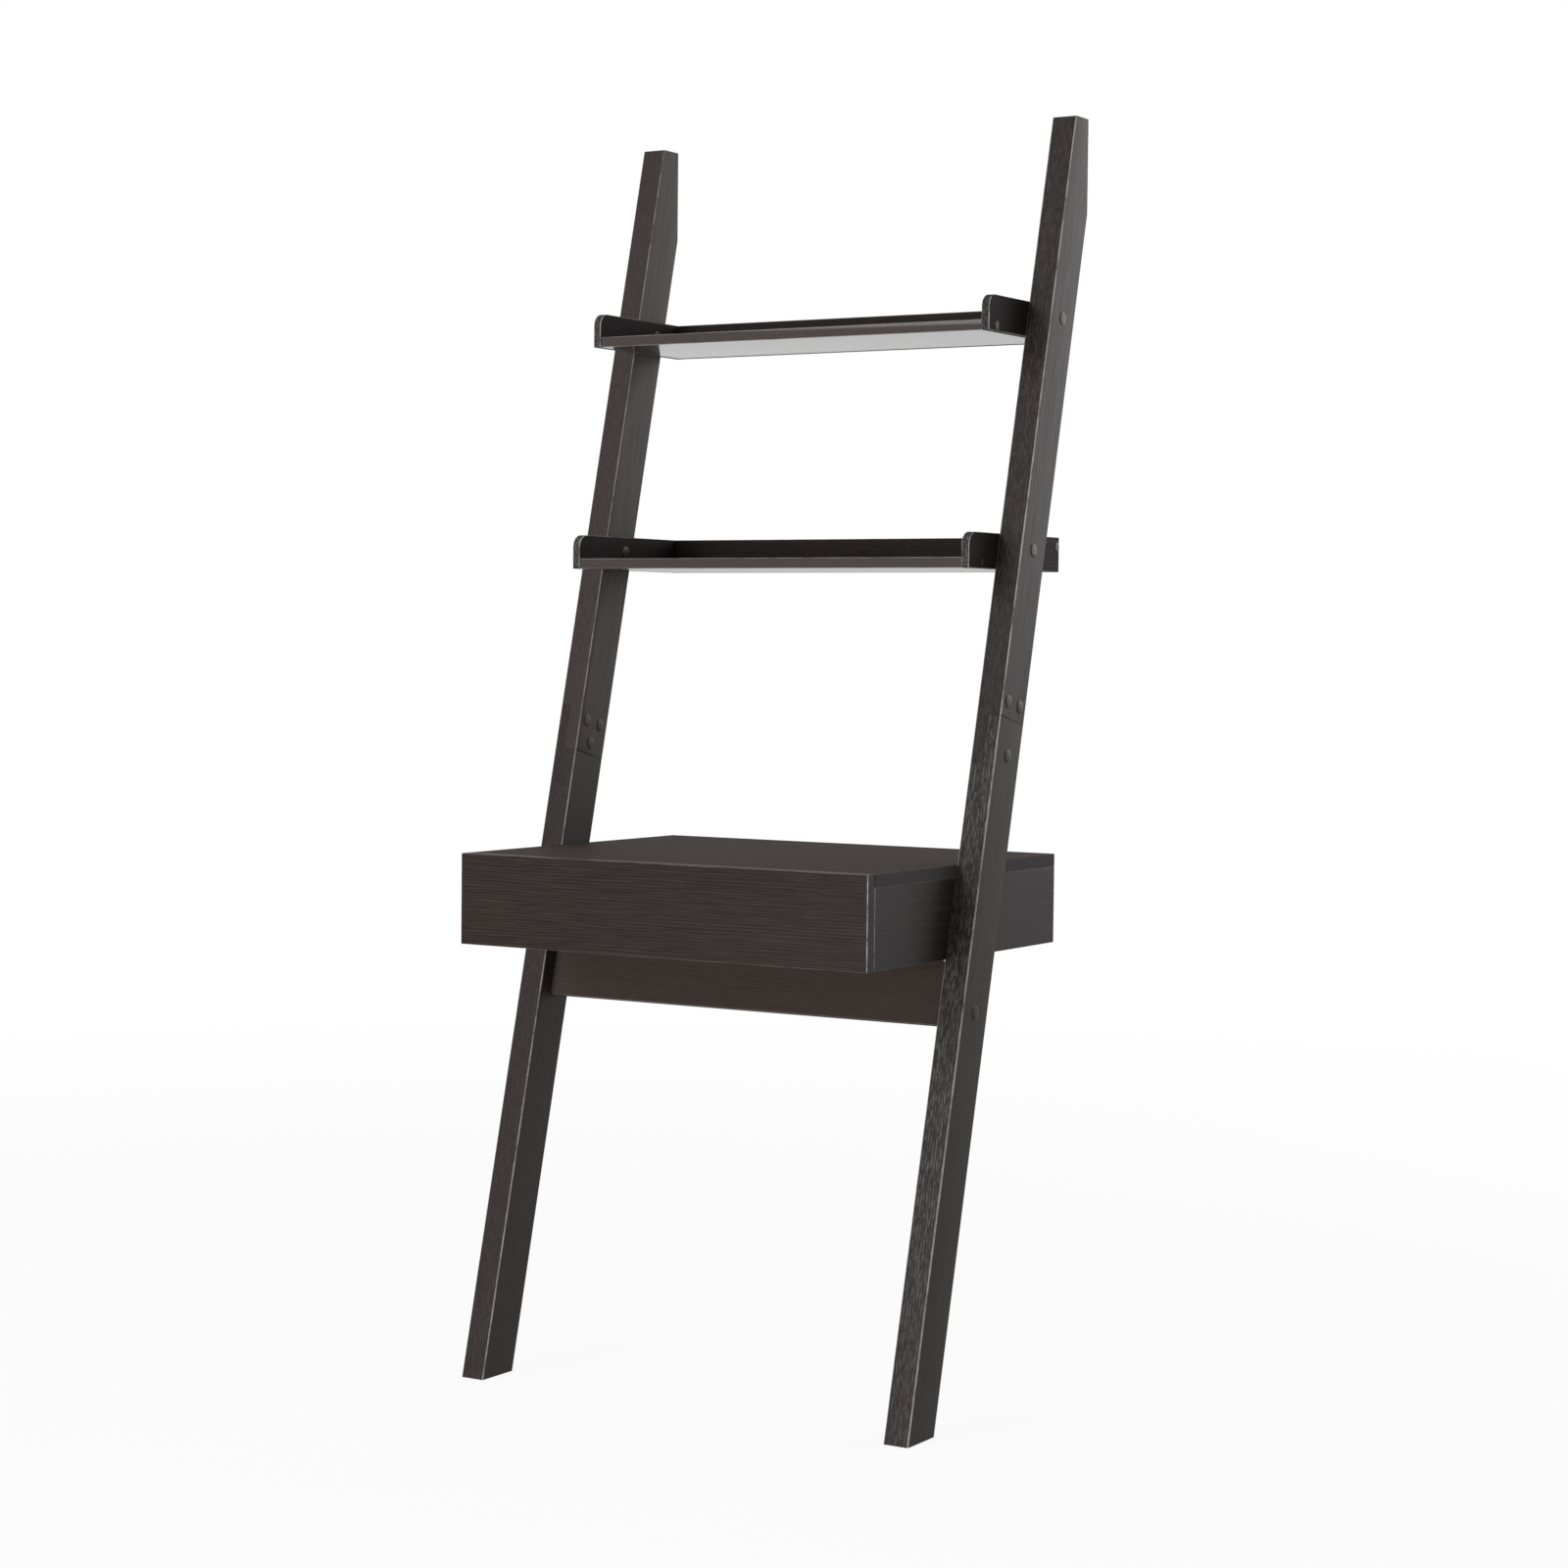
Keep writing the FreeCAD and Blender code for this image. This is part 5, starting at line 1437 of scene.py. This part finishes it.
@dataclass
class Fasteners(Assembly):
    """The cam locks, screws and bolts whose heads show inside the desk and on the drawer."""

    desk_lock: CamLock = CamLock(0.0075, depth=0.0119, line=0.0075)
    drawer_lock: CamLock = CamLock(0.0075, depth=0.0104, line=0.006)
    # A countersunk screw with a pointed end.
    wood_screw: Head = Head(
        ((0, -0.04), (0.0012, -0.0375), (0.0024, -0.036), (0.0025, -0.0045), (0.0048, -0.0007),
         (0.005, -0.0003), (0.0048, 0)), Recess.CROSS, size=0.0028, depth=0.0018)
    # A short screw with a flat head.
    rail_screw: Head = Head(
        ((0, -0.011), (0.0009, -0.0102), (0.0017, -0.009), (0.0017, -0.0006), (0.0035, -0.0006),
         (0.0035, -0.0003), (0.0031, 0)), Recess.CROSS, size=0.0019, depth=0.0005)
    # A bolt with a wide flat head and a six-sided socket.
    desk_bolt: Head = Head(
        ((0, -0.033), (0.0025, -0.033), (0.003, -0.0322), (0.003, -0.003), (0.0075, -0.003),
         (0.0075, -0.0008), (0.0068, 0)), Recess.HEXAGON, size=0.0026, depth=0.002)
    desk_wall: float = 0.31

    def build(self) -> None:
        """Set every kind at the places of its packed group."""
        self.set_all("desk_cam_locks", "frame", self.desk_lock, self.cam_way, self.cam_line)
        self.set_all("drawer_cam_locks", "drawer", self.drawer_lock, outwards,
                     lambda middle: Y_AXIS)
        self.set_all("drawer_screws", "drawer", self.wood_screw, outwards)
        self.set_all("cabinet_rail_screws", "frame", self.rail_screw, inwards)
        self.set_all("drawer_rail_screws", "drawer", self.rail_screw, outwards)
        self.set_all("desk_bolts", "frame", self.desk_bolt, inwards)

    def set_all(self, node: str, body: str, kind: CamLock | Head, facing: Way,
                along: Way = any_turn) -> None:
        """Set one kind of fastener.

        Args:
            node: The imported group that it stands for.
            body: The body that carries it.
            kind: Its shape.
            facing: The way its head faces.
            along: The way its body is turned.
        """
        places = seats(self.nodes[node], facing, on_top=True, along=along)
        turn = math.pi if along is any_turn else 0.0
        group = FastenerSet(f"{node}_headed", places, kind.mesh(f"{node}_pattern"), turn=turn)
        self.carry(group.build(self.materials[Finish.ZINC]), Finish.ZINC, node, body)

    def cam_way(self, middle: Vector) -> Vector:
        """The way a cam lock of the desk box faces: inwards on the sides, forwards on the back."""
        return inwards(middle) if abs(middle.x) > self.desk_wall else -Y_AXIS

    def cam_line(self, middle: Vector) -> Vector:
        """The way a cam bolt of the desk box runs: up on the sides, across on the back."""
        return Z_AXIS if abs(middle.x) > self.desk_wall else X_AXIS


@dataclass
class Hardware(Assembly):
    """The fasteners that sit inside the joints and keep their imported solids."""

    steel: tuple[str, ...] = (
        "lap_cam_locks", "lap_cam_bolts", "lap_bolts", "lap_sleeve_nuts", "stretcher_bolts",
        "stretcher_barrel_nuts", "tray_bolts", "tray_sleeve_nuts", "tray_screws",
        "desk_bolt_inserts", "desk_cam_bolts", "front_roller_pins", "drawer_cam_bolts",
        "rear_roller_pins")
    dowels: tuple[str, ...] = ("stretcher_dowels", "drawer_dowels")

    def build(self) -> None:
        """Give every remaining solid its finish."""
        for node in self.steel:
            self.keep(node, Finish.ZINC)
        for node in self.dowels:
            self.keep(node, Finish.BEECH)


@dataclass(frozen=True)
class Lamp:
    """A square soft lamp: where it stands, the point it faces, its side and its watts."""

    name: str
    place: tuple[float, float, float]
    target: tuple[float, float, float]
    size: float
    power: float

    def build(self) -> None:
        """Put the lamp in the scene."""
        data = bpy.data.lights.new(self.name, "AREA")
        data.shape = "SQUARE"
        data.size = self.size
        data.energy = self.power
        lamp = placed(self.name, data)
        lamp.location = self.place
        way = Vector(self.target) - Vector(self.place)
        lamp.rotation_euler = way.to_track_quat("-Z", "Y").to_euler()


@dataclass
class Studio:
    """The pale floor, the white surroundings, the soft lamps and the camera."""

    eye: tuple[float, float, float] = (2.42254, -3.91536, 1.07403)
    azimuth: float = 0.5474
    elevation: float = -0.0454
    roll: float = 0.0105
    lens: float = 73.842
    sensor: float = 36
    soft_light: float = 0.42
    floor_reach: float = 40
    floor_colour: Colour = (0.94, 0.94, 0.94, 1)
    near_glow: float = 0.9
    glow_limits: Limits = (1.2, 5.0)
    lamps: tuple[Lamp, ...] = (
        Lamp("key_lamp", (2.3, 4.0, 2.35), (0.2, -0.1, 1.2), size=2.8, power=84),
        Lamp("front_lamp", (-1.6, -4.2, 3.4), (0.0, -0.1, 0.9), size=2.2, power=76),
        Lamp("low_lamp", (-0.4, -3.6, 0.45), (0.0, 0.0, 0.6), size=1.2, power=54))

    def build(self) -> None:
        """Set up everything round the desk."""
        self.camera()
        self.surroundings()
        self.floor()
        for lamp in self.lamps:
            lamp.build()

    def camera(self) -> None:
        """Put the camera where the photograph was taken from."""
        level = math.cos(self.elevation)
        ahead = Vector((-math.sin(self.azimuth) * level, math.cos(self.azimuth) * level,
                        math.sin(self.elevation)))
        right = Vector((math.cos(self.azimuth), math.sin(self.azimuth), 0))
        up = right.cross(ahead)
        turned_right = right * math.cos(self.roll) + up * math.sin(self.roll)
        turned_up = up * math.cos(self.roll) - right * math.sin(self.roll)
        data = bpy.data.cameras.new("front_right_camera")
        data.lens = self.lens
        data.sensor_width = self.sensor
        camera = placed("front_right_camera", data)
        turn = Matrix((turned_right, turned_up, -ahead)).transposed().to_4x4()
        camera.matrix_world = Matrix.Translation(self.eye) @ turn
        bpy.context.scene.camera = camera

    def seen_white(self, graph: Graph) -> Value:
        """Tell which rays see the surroundings as white.

        Args:
            graph: The nodes to add to.

        Returns:
            1 for camera, glossy and transmission rays, and 0 for the others.
        """
        path = graph.node("ShaderNodeLightPath").outputs
        camera, glossy, through = (
            Value(graph, path[f"Is {kind} Ray"]) for kind in ("Camera", "Glossy", "Transmission"))
        return camera.greatest(glossy.greatest(through))

    def surroundings(self) -> None:
        """White surroundings that light the desk softly."""
        world = bpy.data.worlds.new("white_surroundings")
        world.use_nodes = True
        bpy.context.scene.world = world
        graph = Graph(world.node_tree)
        share = self.seen_white(graph)
        soft, white = (
            graph.node("ShaderNodeBackground", None, {"Color": WHITE, "Strength": strength})
            for strength in (self.soft_light, 1.0))
        mixed = graph.node("ShaderNodeMixShader", None,
                           {0: share, 1: soft.outputs[0], 2: white.outputs[0]})
        graph.node("ShaderNodeOutputWorld", None, {"Surface": mixed.outputs[0]})

    def floor(self) -> None:
        """A wide pale floor that keeps a soft shadow."""
        reach = self.floor_reach
        corners = [(-reach, -reach, 0), (reach, -reach, 0), (reach, reach, 0), (-reach, reach, 0)]
        mesh = bpy.data.meshes.new("pale_floor")
        mesh.from_pydata(corners, [], [(0, 1, 2, 3)])
        mesh.materials.append(self.floor_paint())
        placed("pale_floor", mesh)

    def floor_paint(self) -> Material:
        """Make matt paint that is seen as white, and wholly so away from the desk.

        Returns:
            The paint.
        """
        graph = FinishGraph("pale_floor")
        length = graph.node("ShaderNodeVectorMath", {"operation": "LENGTH"}, {0: graph.place})
        far = Value(graph, length.outputs["Value"]).step(*self.glow_limits)
        share = self.seen_white(graph) * far.from_least(self.near_glow)
        matt = graph.node("ShaderNodeBsdfDiffuse", None, {"Color": self.floor_colour})
        glow = graph.node("ShaderNodeEmission", None, {"Color": WHITE, "Strength": 1.0})
        mixed = graph.node("ShaderNodeMixShader", None,
                           {0: share, 1: matt.outputs[0], 2: glow.outputs[0]})
        graph.node("ShaderNodeOutputMaterial", None, {"Surface": mixed.outputs[0]})
        return graph.material


def main() -> None:
    """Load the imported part, dress it piece by piece and set up the studio."""
    logging.basicConfig(level=logging.INFO, format="%(name)s: %(message)s")
    for stray in list(bpy.data.objects):
        bpy.data.objects.remove(stray)
    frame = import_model()
    materials = {finish: finish.value.material() for finish in Finish}
    shared = (frame["nodes"], materials)
    for assembly in (Ladder(*shared), Tray(*shared, name="upper"),
                     Tray(*shared, name="lower", underside_sheen=0.6), TrayCaps(*shared),
                     DeskBox(*shared), Drawer(*shared), Slides(*shared), Fasteners(*shared),
                     Hardware(*shared)):
        assembly.build()
    Studio().build()
    bpy.context.scene.view_settings.view_transform = "Standard"


if __name__ == "__main__":
    main()
